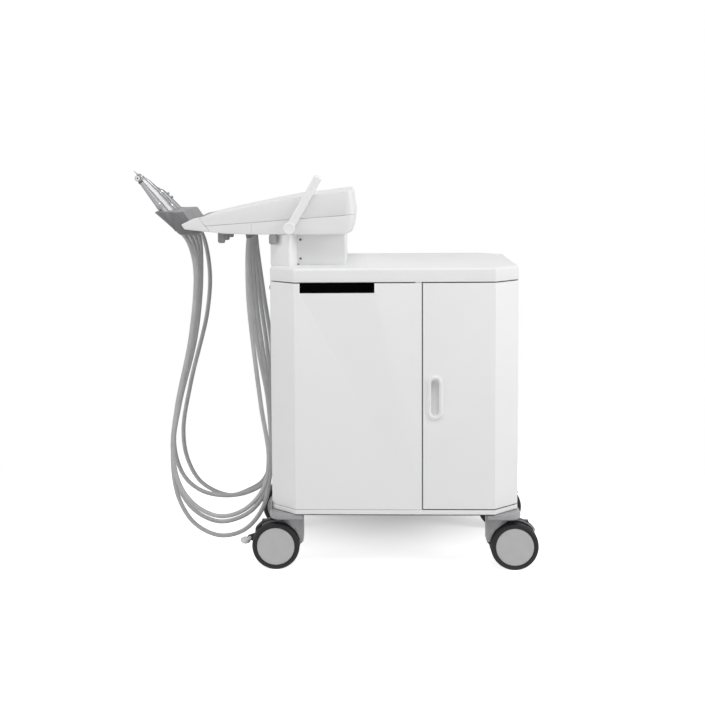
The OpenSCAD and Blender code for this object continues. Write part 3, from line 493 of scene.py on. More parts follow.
PAINTED = {"grain": (1500, 0.010), "vary": (7, 0.006), "rough_vary": (40, 0.05)}
MOULDED = {"grain": (2200, 0.012), "vary": (9, 0.006), "rough_vary": (30, 0.06)}
PAINT = material("powder_coat", (0.86, 0.86, 0.86), 0.42, **PAINTED)
TRAY = material("tray_paint", (0.79, 0.79, 0.79), 0.42, **PAINTED)
COVER = material("moulded_cover", (0.82, 0.82, 0.82), 0.36, **MOULDED)
# The pedestal takes the head's white moulding painted lighter: painted light that makes up for the shade the
# head casts on it
PEDESTAL_PAINTED_LIGHTER = material("pedestal_cover_painted_lighter", (0.88, 0.88, 0.88), 0.36, **MOULDED)
LIMB = material("arm_plastic", (0.87, 0.87, 0.87), 0.34, **MOULDED)
TOP = material("worktop_plastic", (0.86, 0.86, 0.86), 0.40, grain=(1300, 0.03), vary=(12, 0.008),
               rough_vary=(30, 0.08),
               scratch=0.004)
FOOT = material("foot_plastic", (0.34, 0.34, 0.35), 0.38, grain=(1500, 0.03), vary=(60, 0.04),
                rough_vary=(80, 0.08),
                dirt=(0.05, 0.118, (0.22, 0.21, 0.20), 0.25))
# Dark finish for the fork's guard faces and the door's seal strips, and painted shade for the dark sole under
# the tray
GUARD_AND_PAINTED_SHADE = material("fork_guard_and_painted_shade", (0.03, 0.03, 0.032), 0.5, grain=(1200, 0.04), vary=(80, 0.15), spec=0.3)
DISC = material("wheel_plastic", (0.47, 0.47, 0.475), 0.42, grain=(1600, 0.02), vary=(70, 0.03),
                rough_vary=(90, 0.07),
                dirt=(0.0, 0.07, (0.36, 0.35, 0.34), 0.2))
PEDAL = material("pedal_plastic", (0.62, 0.62, 0.63), 0.4, grain=(1400, 0.03), vary=(90, 0.05),
                 rough_vary=(110, 0.1))
HOLDER = material("holder_plastic", (0.17, 0.17, 0.175), 0.42, grain=(1100, 0.05), vary=(60, 0.14),
                  rough_vary=(60, 0.08), stretch=(1, 1, 0.12))
KNOB = material("knob_plastic", (0.32, 0.32, 0.33), 0.45, grain=(1300, 0.03), vary=(120, 0.05),
                rough_vary=(140, 0.08))
TYRE = material("tyre_rubber", (0.014, 0.014, 0.015), 0.55, grain=(900, 0.05), vary=(120, 0.25),
                rough_vary=(120, 0.12),
                spec=0.25, dirt=(0.0, 0.012, (0.05, 0.048, 0.045), 0.35))
BLACK = material("vent_plastic", (0.002, 0.002, 0.002), 0.8, grain=(900, 0.04), vary=(80, 0.2), spec=0.02)
INLET = material("inlet_plastic", (0.03, 0.03, 0.032), 0.45, grain=(1200, 0.04), vary=(80, 0.1))
ZINC = material("zinc_plate", (0.55, 0.56, 0.58), 0.38, 1.0, grain=(700, 0.01), vary=(45, 0.10),
                rough_vary=(50, 0.12))
SCREW = material("screw_steel", (0.16, 0.16, 0.165), 0.35, 0.6, grain=(1500, 0.01), vary=(200, 0.1))
# Instrument steel: its colour varies round each instrument and hardly along it, painted reflection streaks
# laid along the instruments
STEEL = material("instrument_steel", (0.34, 0.34, 0.35), 0.25, 1.0, grain=(900, 0.001), vary=(45, 0.3),
                 rough_vary=(40, 0.04), stretch=(1, 1, 0.01), edge=0.1)
STEEL_DARK = material("instrument_collar", (0.10, 0.10, 0.105), 0.35, 0.5, grain=(800, 0.01),
                      vary=(90, 0.1))
TOOL_WHITE = material("tool_plastic", (0.85, 0.85, 0.85), 0.3, grain=(2000, 0.01), vary=(50, 0.01))
IRON = material("cast_housing", (0.09, 0.09, 0.095), 0.55, 0.2, grain=(420, 0.20), vary=(60, 0.12),
                rough_vary=(70, 0.1))
TANK = material("tank_enamel", (0.8, 0.8, 0.8), 0.22, grain=(500, 0.02), vary=(14, 0.015), coat=0.3)
ALLOY = material("valve_alloy", (0.52, 0.52, 0.54), 0.36, 1.0, grain=(1500, 0.01), vary=(60, 0.05),
                 rough_vary=(70, 0.1))
BOTTLE = material("bottle_plastic", (0.62, 0.74, 0.84), 0.25, grain=(800, 0.02), vary=(18, 0.02),
                  trans=0.55)
HOSE = material("hose_silicone", (0.46, 0.46, 0.465), 0.40, grain=(1800, 0.02), vary=(35, 0.06),
                rough_vary=(60, 0.08))
BLUE = material("button_blue", (0.30, 0.46, 0.72), 0.3, grain=(1500, 0.01), vary=(100, 0.04))
GREEN = material("button_green", (0.36, 0.62, 0.40), 0.3, grain=(1500, 0.01), vary=(100, 0.04))

# ---- hoses
# Routes are X and height in mm, from the gland to the holder.

MOUTH = (-HW * 1000 - 227, HEAD_Z * 1000 + 48)
GLAND_X = -HW * 1000 - 48
ROUTES = {
    "turbine": [
        (-309, 650), (-308, 560), (-299, 461), (-284, 331), (-269, 215), (-283, 147), (-324, 103),
        (-376, 89), (-428, 112), (-463, 160), (-476, 235), (-465, 331), (-432, 487), (-421, 629)],
    "scaler": [
        (-308, 650), (-304, 559), (-293, 454), (-271, 322), (-269, 175), (-288, 92), (-329, 45),
        (-382, 33), (-435, 58), (-469, 110), (-483, 188), (-471, 322), (-435, 481), (-421, 625)],
    "contra_angle": [
        (-306, 650), (-300, 554), (-287, 447), (-270, 313), (-270, 170), (-296, 98), (-332, 65),
        (-387, 51), (-440, 74), (-476, 125), (-489, 202), (-477, 313), (-438, 474), (-423, 621)],
    "straight_handpiece": [
        (-304, 650), (-294, 548), (-280, 440), (-270, 304), (-270, 194), (-288, 131), (-322, 108),
        (-376, 98), (-432, 109), (-472, 144), (-493, 215), (-480, 304), (-439, 468), (-425, 616)],
    "syringe": [
        (-302, 650), (-288, 543), (-273, 433), (-270, 310), (-270, 200), (-294, 124), (-326, 101),
        (-374, 87), (-437, 116), (-469, 171), (-478, 239), (-459, 350), (-418, 516), (-412, 612)],
}
TOOLS = ["turbine", "scaler", "contra_angle", "straight_handpiece", "syringe"]
HOSE_NODE = {"turbine": "hose_turbine", "scaler": "hose_scaler", "contra_angle": "hose_contra_angle",
             "straight_handpiece": "hose_straight", "syringe": "hose_syringe"}


def slope(i):
    return radians(52 - 1.6 * i)


def on_tool(i, s):
    """A place on the axis of instrument i, s mm above the mouth of its slot."""
    return P(MOUTH[0] - s * cos(slope(i)), (i - 2) * PITCH, MOUTH[1] + s * sin(slope(i)))


def make_hose(i, name):
    y = (i - 2) * PITCH
    pts = [P(GLAND_X, y, HEAD_Z * 1000 - 10)] + [P(x, y, z) for x, z in ROUTES[name]]
    pts += [on_tool(i, -80), on_tool(i, -50.05)]
    path, length = smooth_path(pts, 0.006)
    bm = bmesh.new()
    tube(bm, path, 0.00475, 24)
    ob = finish_mesh("hose_%s.tube" % name, bm, None, HOSE, 60, (HOSE_NODE[name],))
    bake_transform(ob)


for number, tool in enumerate(TOOLS):
    make_hose(number, tool)

# ---- cabinet

Z_P0, Z_P1 = 134.7, 604.7        # panels
Z_T0, Z_T1 = 606.9, 635.9        # worktop
W2, D2, C = 258.0, 205.0, 52.0
OCT = vectors((-W2 + C, -D2), (W2 - C, -D2), (W2, -D2 + C), (W2, D2 - C),
              (W2 - C, D2), (-W2 + C, D2), (-W2, D2 - C), (-W2, -D2 + C))
PULL = (82.5, 368.2)


def bent_sheet(bm, path, t, z0, z1, bend=2.5, r=0.45):
    """A folded sheet, t thick on the left of its path in plan."""
    p = [Vector(q) for q in path]
    inner = []
    for i, q in enumerate(p):
        e1 = (q - p[i - 1]).normalized() if i else (p[1] - q).normalized()
        e2 = (p[i + 1] - q).normalized() if i < len(p) - 1 else e1
        u, v = Vector((-e1.y, e1.x)), Vector((-e2.y, e2.x))
        inner.append(q + (u + v) * (t / (1 + u.dot(v))))
    n = len(p)
    radii = [0.0] + [bend] * (n - 2) + [0.0]
    outline = fillet(p + inner[::-1], radii + [max(x - t, 0.4) if x else 0.0 for x in radii[::-1]], 5)
    slab_z(bm, outline, z0, z1, r, 3)


def make_tray():
    """An open dish with a thin rim."""
    bm = bmesh.new()
    o8 = fillet(OCT, 2.5, 4)
    prof = [(5, 122), (4.6, 123.0), (0.5, 123.1), (0, 123.7), (0, 131.9), (0.2, 132.35), (0.6, 132.5),
            (1.5, 132.5), (2, 132), (2, 124.6), (2.6, 124)]
    loft(bm, [[P(q.x, q.y, z) for q in offset(o8, d)] for d, z in prof])
    skin("base_tray", bm, TRAY, 35)


def make_panels():
    # Near side, with its ventilation slot
    bm = bmesh.new()
    bent_sheet(bm, [(-256.9, -154.1), (-206, -205), (55.3, -205)], 2, Z_P0 - 1.5, Z_P1)
    cut = bmesh.new()
    slab_y(cut, rect(-194, 584.7, -41, 612), -215, -195, 0.1, 1)
    bm = boolean(bm, cut)
    skin("side_panel_near", bm, PAINT, 35)

    bm = bmesh.new()
    bent_sheet(bm, [(256.9, 154.1), (206, 205), (-206, 205), (-256.9, 154.1)], 2, Z_P0 - 1.5, Z_P1)
    skin("side_panel_far", bm, PAINT, 35)

    bm = bmesh.new()
    slab_x(bm, rect(-151.9, Z_P0 - 1.5, 151.9, Z_P1, 0.6, 2), -258, -256, 0.5, 3)
    skin("front_panel", bm, PAINT, 35)


def hexed(r, z, a):
    """Makes the wall of a screw's socket six-sided."""
    if z > 0.75 and r <= 1.61:
        return r * cos(pi / 6) / cos((a + pi / 6) % (pi / 3) - pi / 6)
    return r


def make_screws():
    bm = bmesh.new()
    for y in (-139, 139):
        for z in (Z_P0 + 30, Z_P1 - 14):
            m = aim(P(-258, y, z), (-1, 0, 0), (0, 1, 0))
            head = round_off([(0, 0), (4.5, 0), (4.5, 1.2), (3.4, 2.2), (2.0, 2.2)], 0.5, 2)
            socket = [(1.6, 2.1), (1.6, 0.8), (0, 0.7)]
            lathe(bm, head[1:] + socket, m, 36, hexed)
    skin("panel_screws", bm, SCREW)


def dress_hardware():
    dress("rear_panel", PAINT, 0.4, 2)
    dress("vent_insert", BLACK, 0.0)
    dress("mains_inlet", INLET, 0.5, 2)
    dress("inner_frame", ZINC, 0.5, 1)
    dress("door_catch", INLET, 0.8, 2)
    dress("hinge_frame_side", ZINC, 0.0)
    dress("hinge_door_side", ZINC, 0.0)


def make_worktop():
    """A slab with a broad rounded upper edge and a shallow raised rest."""
    bm = bmesh.new()
    o8 = fillet(OCT, 7, 6)
    rows = steps(Z_T0, Z_T1, 1.2, 6, 5.5)
    rows.append((Z_T1, 9.0))
    loft(bm, [[P(q.x, q.y, z) for q in offset(o8, d)] for z, d in rows])
    rest = vectors((-59, -189), (W2 - C - 6.6, -189), (W2 - 16, -D2 + C + 6.6),
                   (W2 - 16, D2 - C - 6.6), (W2 - C - 6.6, 189), (-59, 189))
    slab_z(bm, fillet(rest, [3, 8, 8, 8, 8, 3], 4), Z_T1 - 1, Z_T1 + 0.5, 0.4, 3)
    skin("worktop", bm, TOP, 45)


def make_door():
    # Bent front with a folded return, flanges at its top and foot, and a slot for the pull
    bm = bmesh.new()
    bent_sheet(bm, [(57.5, -193), (57.5, -205), (206, -205), (257.7, -153.3)], 2, Z_P0, Z_P1, 2.5)
    cut = bmesh.new()
    slab_y(cut, stadium(19, 79, *PULL), -215, -195, 0.1, 1)
    bm = boolean(bm, cut)
    for z in (Z_P0 + 0.1, Z_P1 - 2.1):
        slab_z(bm, rect(59.5, -203, 204.5, -193, 0.4, 1), z, z + 2, 0.392, 1)
    skin("door", bm, PAINT, 35)

    # Dark seal strips in the gaps beside and above the door, and under the tray a dark sole that is painted
    # shade, standing for the shadow line below the tray
    bm = bmesh.new()
    slab_z(bm, rect(55.6, -203.4, 57.2, -199, 0.3, 2), Z_P0, Z_P1 + 2, 0.2, 1)
    bent_sheet(bm, [(57.2, -203.6), (205.4, -203.6), (256.2, -152.8)], 1.5, Z_P1 + 0.3, Z_T0 - 0.05, 2, 0.1)
    # Painted shade: this dark sole under the tray stands for the shadow line below it
    slab_z(bm, offset(fillet(OCT, 2.5, 4), 1.6), 120.9, 122.1, 0.2, 1)
    finish_mesh("seals_and_painted_shade", bm, "root", GUARD_AND_PAINTED_SHADE, 40, ())

    # Pull: a raised rounded bezel round a finger cup
    bm = bmesh.new()
    seq = [(8.5, -192.0), (7.0, -192.5), (6.5, -194), (6.5, -204.6), (0.2, -205.0), (0, -205.4),
           (0, -206.0)]
    for k in range(1, 7):
        a = pi / 2 * k / 6
        seq.append((3.0 * (1 - cos(a)), -206.0 - 3.0 * sin(a)))
    seq.append((5.2, -209.0))
    for k in range(1, 7):
        a = pi / 2 * k / 6
        seq.append((5.2 + 2.8 * sin(a), -206.2 - 2.8 * cos(a)))
    seq += [(8.0, -196.5), (8.6, -194.4), (10.2, -193.6)]
    loft(bm, [[P(q.x, y, q.y) for q in stadium(32 - 2 * d, 92 - 2 * d, *PULL)] for d, y in seq])
    skin("door_pull", bm, COVER)


make_tray()
make_panels()
make_screws()
dress_hardware()
make_worktop()
make_door()

# ---- casters

WHEEL_X, WHEEL_Y = 249.5, 161
STEM = {"front_near": (-1, -1), "front_far": (-1, 1), "rear_near": (1, -1), "rear_far": (1, 1)}


def arc(cx, cy, r, a0, a1, n):
    return [Vector((cx + r * cos(radians(a0 + (a1 - a0) * k / n)),
                    cy + r * sin(radians(a0 + (a1 - a0) * k / n)))) for k in range(n + 1)]


def make_feet():
    bm = bmesh.new()
    for sx, sy in STEM.values():
        plan = vectors((-16.7, -24)) + fillet(vectors((-16.7, -24), (47, -24), (47, 17)), [0, 6, 0], 5)[1:-1]
        plan += arc(23, 17, 24, 0, 90, 12)
        plan += fillet(vectors((23, 41), (-24, 41), (-24, -16.7)), [0, 6, 0], 5)[1:-1]
        plan += arc(-34, -34, 20, 60, 30, 6)
        if sx * sy < 0:
            plan = plan[::-1]
        placed = [Vector((sx * (214.5 + q.x), sy * (WHEEL_Y + q.y))) for q in plan]
        slab_z(bm, placed, 109, 122, 6, 7, 1.2)
        if sx < 0:
            y0, y1 = sorted((sy * 141, sy * 160))
            slab_x(bm, rect(y0, 111, y1, 138, 2.5, 4), -261.5, -258.02, 1.0, 3)
    skin("caster_brackets", bm, FOOT)


def make_wheels():
    for key, (sx, sy) in STEM.items():
        tyre, hub = bmesh.new(), bmesh.new()
        for s in (-1, 1):
            # Local Z runs from the web outwards
            m = aim(P(sx * WHEEL_X, sy * WHEEL_Y + s * 9.3, 50), (0, s, 0))
            prof = [(39.4, 0.6), (43.5, 0.3), (45.5, 0.6), (47.6, 1.6), (49.3, 3.6), (49.85, 6.0), (50, 9),
                    (50, 12.5), (49.85, 15.5), (49.3, 17.9), (47.9, 19.8), (46.0, 21.0), (44.0, 21.45),
                    (42.6, 21.3), (41.9, 20.7), (41.2, 20.9), (40.4, 20.9), (39.4, 20.2)]
            lathe(tyre, round_off(prof, 0.8, 2), m, 128, closed=True)
            disc = [(39.35, 0.8), (39.35, 19.7), (38.9, 20.5), (37.8, 20.75), (30, 20.45), (15, 20.2),
                    (0, 20.15)]
            lathe(hub, [(0, 0.5), (39.0, 0.5)] + round_off(disc, 0.35, 2), m, 96)
        m = aim(P(sx * WHEEL_X, sy * WHEEL_Y - 9.6, 50), (0, 1, 0))
        lathe(hub, [(0, 0), (4, 0), (4, 19.2), (0, 19.2)], m, 32)
        skin("tyre_" + key, tyre, TYRE)
        skin("hub_" + key, hub, DISC, 30)
        # The fork's lower inner corner is rounded
        corner = bmesh.new()
        curve = [Vector((sx * (191.4 + q.x), q.y)) for q in arc(14, 62, 14, 180, 270, 10)]
        side = vectors((sx * 188, 62)) + curve + vectors((sx * 206, 44), (sx * 188, 44))
        slab_y(corner, side[::sx], sy * WHEEL_Y - 24, sy * WHEEL_Y + 24, 0.01, 1)
        fork = dress("fork_" + key, [FOOT, GUARD_AND_PAINTED_SHADE], 1.2, 3, 28, 40, cutter=corner)
        # The fork's faces between the twin wheels, behind the axle and round the guard's rim, take the dark
        # finish
        for f in fork.data.polygons:
            q = fork.matrix_world @ f.center
            x = (q.x - CAB) * sx
            hood = hypot(x - 0.2495, q.z - 0.05) > 0.0505
            if abs(abs(q.y) - 0.161) < 0.0088 and (x > 0.2495 or (hood and q.z > 0.08 and x > 0.2)):
                f.material_index = 1


def make_pedals():
    for key, sy in (("near", -1), ("far", 1)):
        bm = bmesh.new()
        for s in (-1, 1):
            y0, y1 = sorted((sy * WHEEL_Y + s * 4.3, sy * WHEEL_Y + s * 8.3))
            ear = arc(-306.6, 62, 4.2, -80, 80, 10)
            slab_y(bm, vectors((-313, 56)) + ear + vectors((-313, 60)), y0, y1, 0.8, 2)
        m = aim(P(-306.6, sy * WHEEL_Y, 62), (0, 1, 0))
        lathe(bm, [(0, -8.2), (2, -8.2), (2, 8.2), (0, 8.2)], m, 24)
        pad = [Vector((-315.2 + 10.8 * q.x, sy * WHEEL_Y + 13.8 * q.y)) for q in arc(0, 0, 1, -180, 172, 44)]
        slab_z(bm, pad, 49.8, 60.6, 5.2, 7)
        skin("brake_pedal_" + key, bm, PEDAL)


make_feet()
make_wheels()
make_pedals()

# ---- head

HZ = HEAD_Z * 1000
REAR_X = -W2 + 181
JOINT_X = -W2 - 38
SEAM_F, SEAM_R = Vector((-W2 - 134, HZ + 18.8)), Vector((REAR_X, HZ + 41))
UNDER = Vector((-W2 - 123.4, HZ + 5.9))


def seam_z(x):
    return SEAM_F.y + (x - SEAM_F.x) * (SEAM_R.y - SEAM_F.y) / (SEAM_R.x - SEAM_F.x)


def rear_round(x, y, r=18.0, half=150.0):
    """Rounds the head's two rear corners in plan."""
    start = REAR_X - 26
    over = abs(y) - (half - r)
    if x <= start or over <= 0:
        return x
    reach = REAR_X - r + sqrt(max(r * r - over * over, 0))
    return start + (x - start) * (reach - start) / (REAR_X - start)


EXTRA = [s * (150 - 18 * (1 - sin(radians(a)))) for s in (-1, 1) for a in (0, 15, 30, 45, 56, 66)]


def cover(name, outline, radii, r=2.2, squeeze=rear_round, cuts=(), extra=EXTRA, seams=()):
    """A moulded piece of the head; seams are its sides against the next piece."""
    pts, n = [Vector(p) for p in outline], len(outline)
    if sum(a.x * b.y - b.x * a.y for a, b in zip(pts, pts[1:] + pts[:1])) < 0:
        pts, radii, seams = pts[::-1], radii[::-1], [(n - 2 - k) % n for k in seams]
    shape = fillet(pts, radii, 4)
    shape.share = [0.17 if i in seams else 1.0 for i in range(n)]
    bm = bmesh.new()
    slab_y(bm, shape, -150, 150, r, 4, squeeze, extra)
    for c in cuts:
        bm = boolean(bm, c())
    skin(name, bm, COVER, 32)


def holder_room():
    c = bmesh.new()
    slab_z(c, rect(-W2 - 205, -136.3, -W2 - 139, 136.3), HZ - 20, HZ + 80, 0.1, 1)
    return c


def at_head(x, z):
    """A point in X and height, from the cabinet's front edge and the head's underside."""
    return (-W2 + x, HZ + z)


def make_head():
    g = 0.2
    bend_z = seam_z(REAR_X - 26)
    cover("head_top", [
        (SEAM_F.x, SEAM_F.y + g), (REAR_X - 26, bend_z + g), (SEAM_R.x, SEAM_R.y + g),
        (REAR_X - 7, HZ + 91.6), at_head(162, 90.4), at_head(95, 82), at_head(60, 79.4), at_head(-12, 66),
        at_head(-96, 48.6), at_head(-147.6, 36.4), at_head(-144.6, 32.3)],
        [0.5, 0, 0.6, 5, 9, 30, 30, 60, 60, 1.2, 1.2], 2.0, cuts=(holder_room,), seams=(0, 1, 10))
    cover("head_lower_rear", [
        (JOINT_X + 0.05, HZ + 0.6), at_head(30, 0), at_head(159, 0), (REAR_X - 8.5, HZ + 5.3),
        (REAR_X - 3, HZ + 21.8), (SEAM_R.x, SEAM_R.y - g), (REAR_X - 26, bend_z - g),
        (JOINT_X + 0.05, seam_z(JOINT_X) - g)],
        [0.4, 0, 12, 9, 14, 0.6, 0, 0.4], 2.0, seams=(5, 6, 7))
    cover("head_lower_front", [
        (UNDER.x, UNDER.y), at_head(-96, 2.8), (JOINT_X - 0.05, HZ + 0.6),
        (JOINT_X - 0.05, seam_z(JOINT_X) - g), (SEAM_F.x, SEAM_F.y - g)],
        [0.5, 12, 0.4, 0.4, 0.5], 2.0, squeeze=None, extra=(), seams=(2, 3, 4))
    cover("head_nose", [
        at_head(-185, 22.3), at_head(-178.5, 12.2), at_head(-138, 7.2), (UNDER.x - 0.3, UNDER.y),
        (SEAM_F.x - 0.35, SEAM_F.y), at_head(-144.9, 32.3), at_head(-147.9, 36.4), at_head(-160, 34)],
        [2.0, 3.0, 6, 0.6, 0.6, 0.8, 1.0, 4], 2.6, squeeze=None, extra=(), cuts=(holder_room,),
        seams=(3, 4, 5))


def make_pedestal():
    bm = bmesh.new()
    shroud = vectors((-W2, -D2 + 80), (-W2 + 42.5, -157.5), (-W2 + 56, -113), (-W2 + 56, 113),
                     (-W2 + 42.5, 157.5), (-W2, D2 - 80))
    slab_z(bm, fillet(shroud, [4, 3.5, 0.5, 0.5, 3.5, 4], 4), Z_T1, HZ - 0.3, 0.8, 2)
    skin("pedestal_shroud", bm, PEDESTAL_PAINTED_LIGHTER, 35)
    bm, heads = bmesh.new(), bmesh.new()
    slab_z(bm, fillet(rect(-W2 + 56, -111, -W2 + 159, 111), [0.5, 6, 6, 0.5], 6), Z_T1, HZ, 0.6, 2)
    half = [(0, -0.5), (2.6, -0.5), (2.6, 0.7), (1.9, 1.35), (1.0, 1.4), (0.9, 0.6), (0, 0.6)]
    for s in (-1, 1):
        for z in (Z_T1 + 13, HZ - 13):
            m = aim(P(-W2 + 62.5, s * 111, z), (0, s, 0))
            lathe(heads, round_off(half, 0.3, 2), m, 28)
    slab_z(heads, rect(-W2 + 56.2, -114.6, -W2 + 59.5, -111.2, 0.8, 3), Z_T1, Z_T1 + 2.6, 0.4, 2)
    finish_mesh("pedestal_screws", heads, "root", SCREW, 40, ())
    skin("pedestal_box", bm, PEDESTAL_PAINTED_LIGHTER, 35)


def make_arm():
    """A flat bar with a long chamfer on each side, and its pivot."""
    tilt = radians(60)
    u, v = Vector((cos(tilt), 0, sin(tilt))), Vector((-sin(tilt), 0, cos(tilt)))
    pivot = P(-216.5, 0, 715.1)

    def bar(inset):
        h = 8.5 - inset
        end = 124 - inset
        return arc(0, 0, h, 90, 270, 15) + vectors((end - 2.5, -h), (end, -h + 2.5), (end, h - 2.5),
                                                   (end - 2.5, h))

    bm = bmesh.new()
    seq = [(1.0, -151), (0.3, -151.25), (0, -152), (0, -157.2), (0.15, -157.6), (2.9, -160.2),
           (3.3, -160.45), (4.0, -160.5)]
    loft(bm, [[pivot + u * (q.x / 1000) + v * (q.y / 1000) + Vector((0, y / 1000, 0)) for q in bar(d)]
              for d, y in seq])
    skin("positioning_arm", bm, LIMB, 25)
    bm = bmesh.new()
    m = aim(P(-216.5, -160.8, 715.1), (0, -1, 0))
    half = [(0, -13), (4, -13), (4, 0), (12.7, 0), (12.7, 2.6), (11.3, 4), (9.0, 4), (8.6, 3.6), (0, 3.6)]
    lathe(bm, round_off(half, 0.6, 3), m, 64)
    skin("arm_pivot", bm, LIMB, 35)


make_head()
make_pedestal()
make_arm()

# ---- knobs and glands

def grip(count, depth, z_lo, z_hi):
    def f(r, z, a):
        return r - (depth * max(0.0, cos(a * count)) ** 2 if z_lo < z < z_hi and r > 5 else 0)
    return f


def make_knobs():
    x = -W2 - 107
    for key, y in (("near", -82), ("middle", 18), ("far", 118)):
        top = HZ + 0.6 + (JOINT_X - x) * 2.2 / (JOINT_X + W2 + 96) - 0.3
        m = aim(P(x, y, top - 24), (0, 0, 1))
        bm = bmesh.new()
        half = [(0, 0), (5.4, 0), (7.3, 1.8), (7.3, 6), (7.3, 18), (7.0, 23), (6.2, 24), (2.5, 24), (2.5, 30),
                (0, 30)]
        lathe(bm, round_off(half, 0.7, 3), m, 72, grip(12, 0.6, 1.5, 23))
        slab_z(bm, rect(x - 8.1, y - 0.9, x - 3, y + 0.9, 0.4, 2), top - 22, top - 3, 0.4, 2)
        skin("flow_knob_" + key, bm, KNOB)


def make_selector():
    m = aim(P(-251, -142.5, HZ - 20.3), (0, 0, 1))
    bm = bmesh.new()
    half = [(0, 0), (6.4, 0), (8.2, 2), (8.2, 8), (8.2, 14), (7.9, 19), (7, 20), (2.5, 20), (2.5, 26),
            (0, 26)]
    lathe(bm, round_off(half, 0.8, 3), m, 72, grip(14, 0.6, 1.5, 19))
    slab_z(bm, rect(-259.8, -143.4, -254, -141.6, 0.4, 2), HZ - 18, HZ - 2.5, 0.4, 2)
    skin("selector_knob", bm, KNOB)


def make_glands():
    bm = bmesh.new()
    slab_z(bm, rect(GLAND_X - 7, -110, GLAND_X + 7, 110, 1.5, 3), HZ - 1, HZ + 6, 0.5, 2)
    half = [(0, -2), (6.4, -2), (6.4, 3), (6.1, 3.6), (6.1, 4.6), (5.9, 5.2), (5.9, 6.4), (5.6, 7.0),
            (5.6, 8.2), (5.3, 8.8), (5.2, 10), (0, 10)]
    for i in range(5):
        m = aim(P(GLAND_X, (i - 2) * PITCH, HZ), (0, 0, -1))
        lathe(bm, round_off(half, 0.25, 2), m, 36)
    skin("gland_plate", bm, HOLDER)


make_knobs()
make_selector()
make_glands()

# ---- holder and instruments

def holder_round(x, y, r=22.0, half=136.0):
    """Rounds the holder's two front corners in plan."""
    front, start = -W2 - 245, -W2 - 205
    over = abs(y) - (half - r)
    if x >= start or over <= 0:
        return x
    reach = front + r - sqrt(max(r * r - over * over, 0))
    return start + (x - start) * (start - reach) / (start - front)


def make_holder():
    outline = vectors(
        at_head(-245, 46.6), at_head(-189.6, -1.4), at_head(-154, -2.2), at_head(-139, 5.7),
        at_head(-139, 25.6), at_head(-167, 25.6), at_head(-183, 48.7), at_head(-212, 47.8),
        at_head(-240, 49.1))
    shape = fillet(outline, [1.2, 14, 8, 1, 1, 6, 5, 12, 1.5], 5)
    shape.share = [0.2, 0.2, 0.2, 0.2, 0.3, 1.0, 0.25, 0.1, 0.1]
    bm = bmesh.new()
    stations = [s * (136 - 22 * (1 - sin(radians(a)))) for s in (-1, 1) for a in (0, 12, 24)]
    slab_y(bm, shape, -136, 136, 14, 7, holder_round, stations)
    for i in range(5):
        # A slot: round at the back, open to the front below
        c = bmesh.new()
        ax = Vector((-cos(slope(i)), 0, sin(slope(i))))
        nx = Vector((sin(slope(i)), 0, cos(slope(i))))
        base = on_tool(i, -100)
        ring = vectors((-40, -8.8)) + arc(0, 0, 8.8, -90, 90, 18) + vectors((-40, 8.8))
        loft(c, [[base + nx * (q.x / 1000) + Vector((0, q.y / 1000, 0)) + ax * (h / 1000) for q in ring]
                 for h in (0, 170)])
        bm = boolean(bm, c)
    soften(bm, 0.9, 2, 40)
    skin("instrument_holder", bm, HOLDER, 38)


def tool_frame(i):
    ax = Vector((-cos(slope(i)), 0, sin(slope(i))))
    return aim(on_tool(i, 0), ax, (sin(slope(i)), 0, cos(slope(i))))


def spun(*parts):
    """Turned parts, each a profile with its count of sides and, where it needs one, its place."""
    bm = bmesh.new()
    for profile, sides, *place in parts:
        lathe(bm, profile, *place, seg=sides)
    return bm


def local_piece(name, m, bm, body, mat, replaces=()):
    """A piece whose own axes follow the instrument, so that its finish runs round it and the steel's painted
    reflection streaks lie along it.
    """
    ob = finish_mesh(name, bm, None, mat, 40)
    ob.matrix_world = m
    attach(ob, body)
    if replaces:
        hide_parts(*replaces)


def raised(z, angle=0, axis="X"):
    """A place z mm up an instrument, turned by an angle in degrees."""
    return Matrix.Translation((0, 0, z / 1000)) @ Matrix.Rotation(radians(angle), 4, axis)


def rings_on(z0, z1, r, n, depth=0.3):
    """A grooved stretch of a lathe profile."""
    out, step = [], (z1 - z0) / n
    for k in range(n):
        z = z0 + k * step
        out += [(r, z), (r, z + step * 0.62), (r - depth, z + step * 0.7), (r - depth, z + step * 0.92)]
    return out


BUTT = [(0, -50), (6.5, -50), (8.5, -47)]


def make_turbine():
    m = tool_frame(0)
    neck = [(8.0, 18), (7.6, 20), (6.9, 34), (6.2, 48), (5.2, 62), (4.4, 74), (4.2, 87), (0, 88)]
    body = round_off(BUTT + [(8.5, 4)], 0.5, 3) + rings_on(5, 17, 8.4, 5) + round_off(neck, 0.6, 3)
    local_piece("turbine.body", m, spun((body, 56)), "turbine", STEEL, ("turbine",))
    head = raised(89, 90)
    drum = [(0, -6), (4.2, -6), (5.8, -5.2), (6.3, -3.8), (6.3, 4.6), (5.9, 5.6), (5.4, 6.0), (0, 6)]
    bur = [(0, -12), (0.35, -12), (0.8, -11), (0.8, -5.8), (0, -5.8)]
    collar = [(0, 77), (5.6, 77), (5.6, 81.5), (0, 81.5)]
    parts = (round_off(drum, 0.5, 3), 48, head), (bur, 20, head), (round_off(collar, 0.5, 3), 40)
    local_piece("turbine.head", m, spun(*parts), "turbine", STEEL_DARK)
    cap = round_off([(5.2, 5.9), (5.1, 7.0), (4.5, 7.5), (2.2, 7.5), (1.7, 6.4), (0, 6.3)], 0.3, 2)
    local_piece("turbine.cap", m, spun((cap, 40, head)), "turbine", TOOL_WHITE)
    button = round_off([(0, 6.0), (1.6, 6.0), (1.6, 6.9), (0, 6.9)], 0.2, 2)
    local_piece("turbine.button", m, spun((button, 24, head)), "turbine", STEEL_DARK)


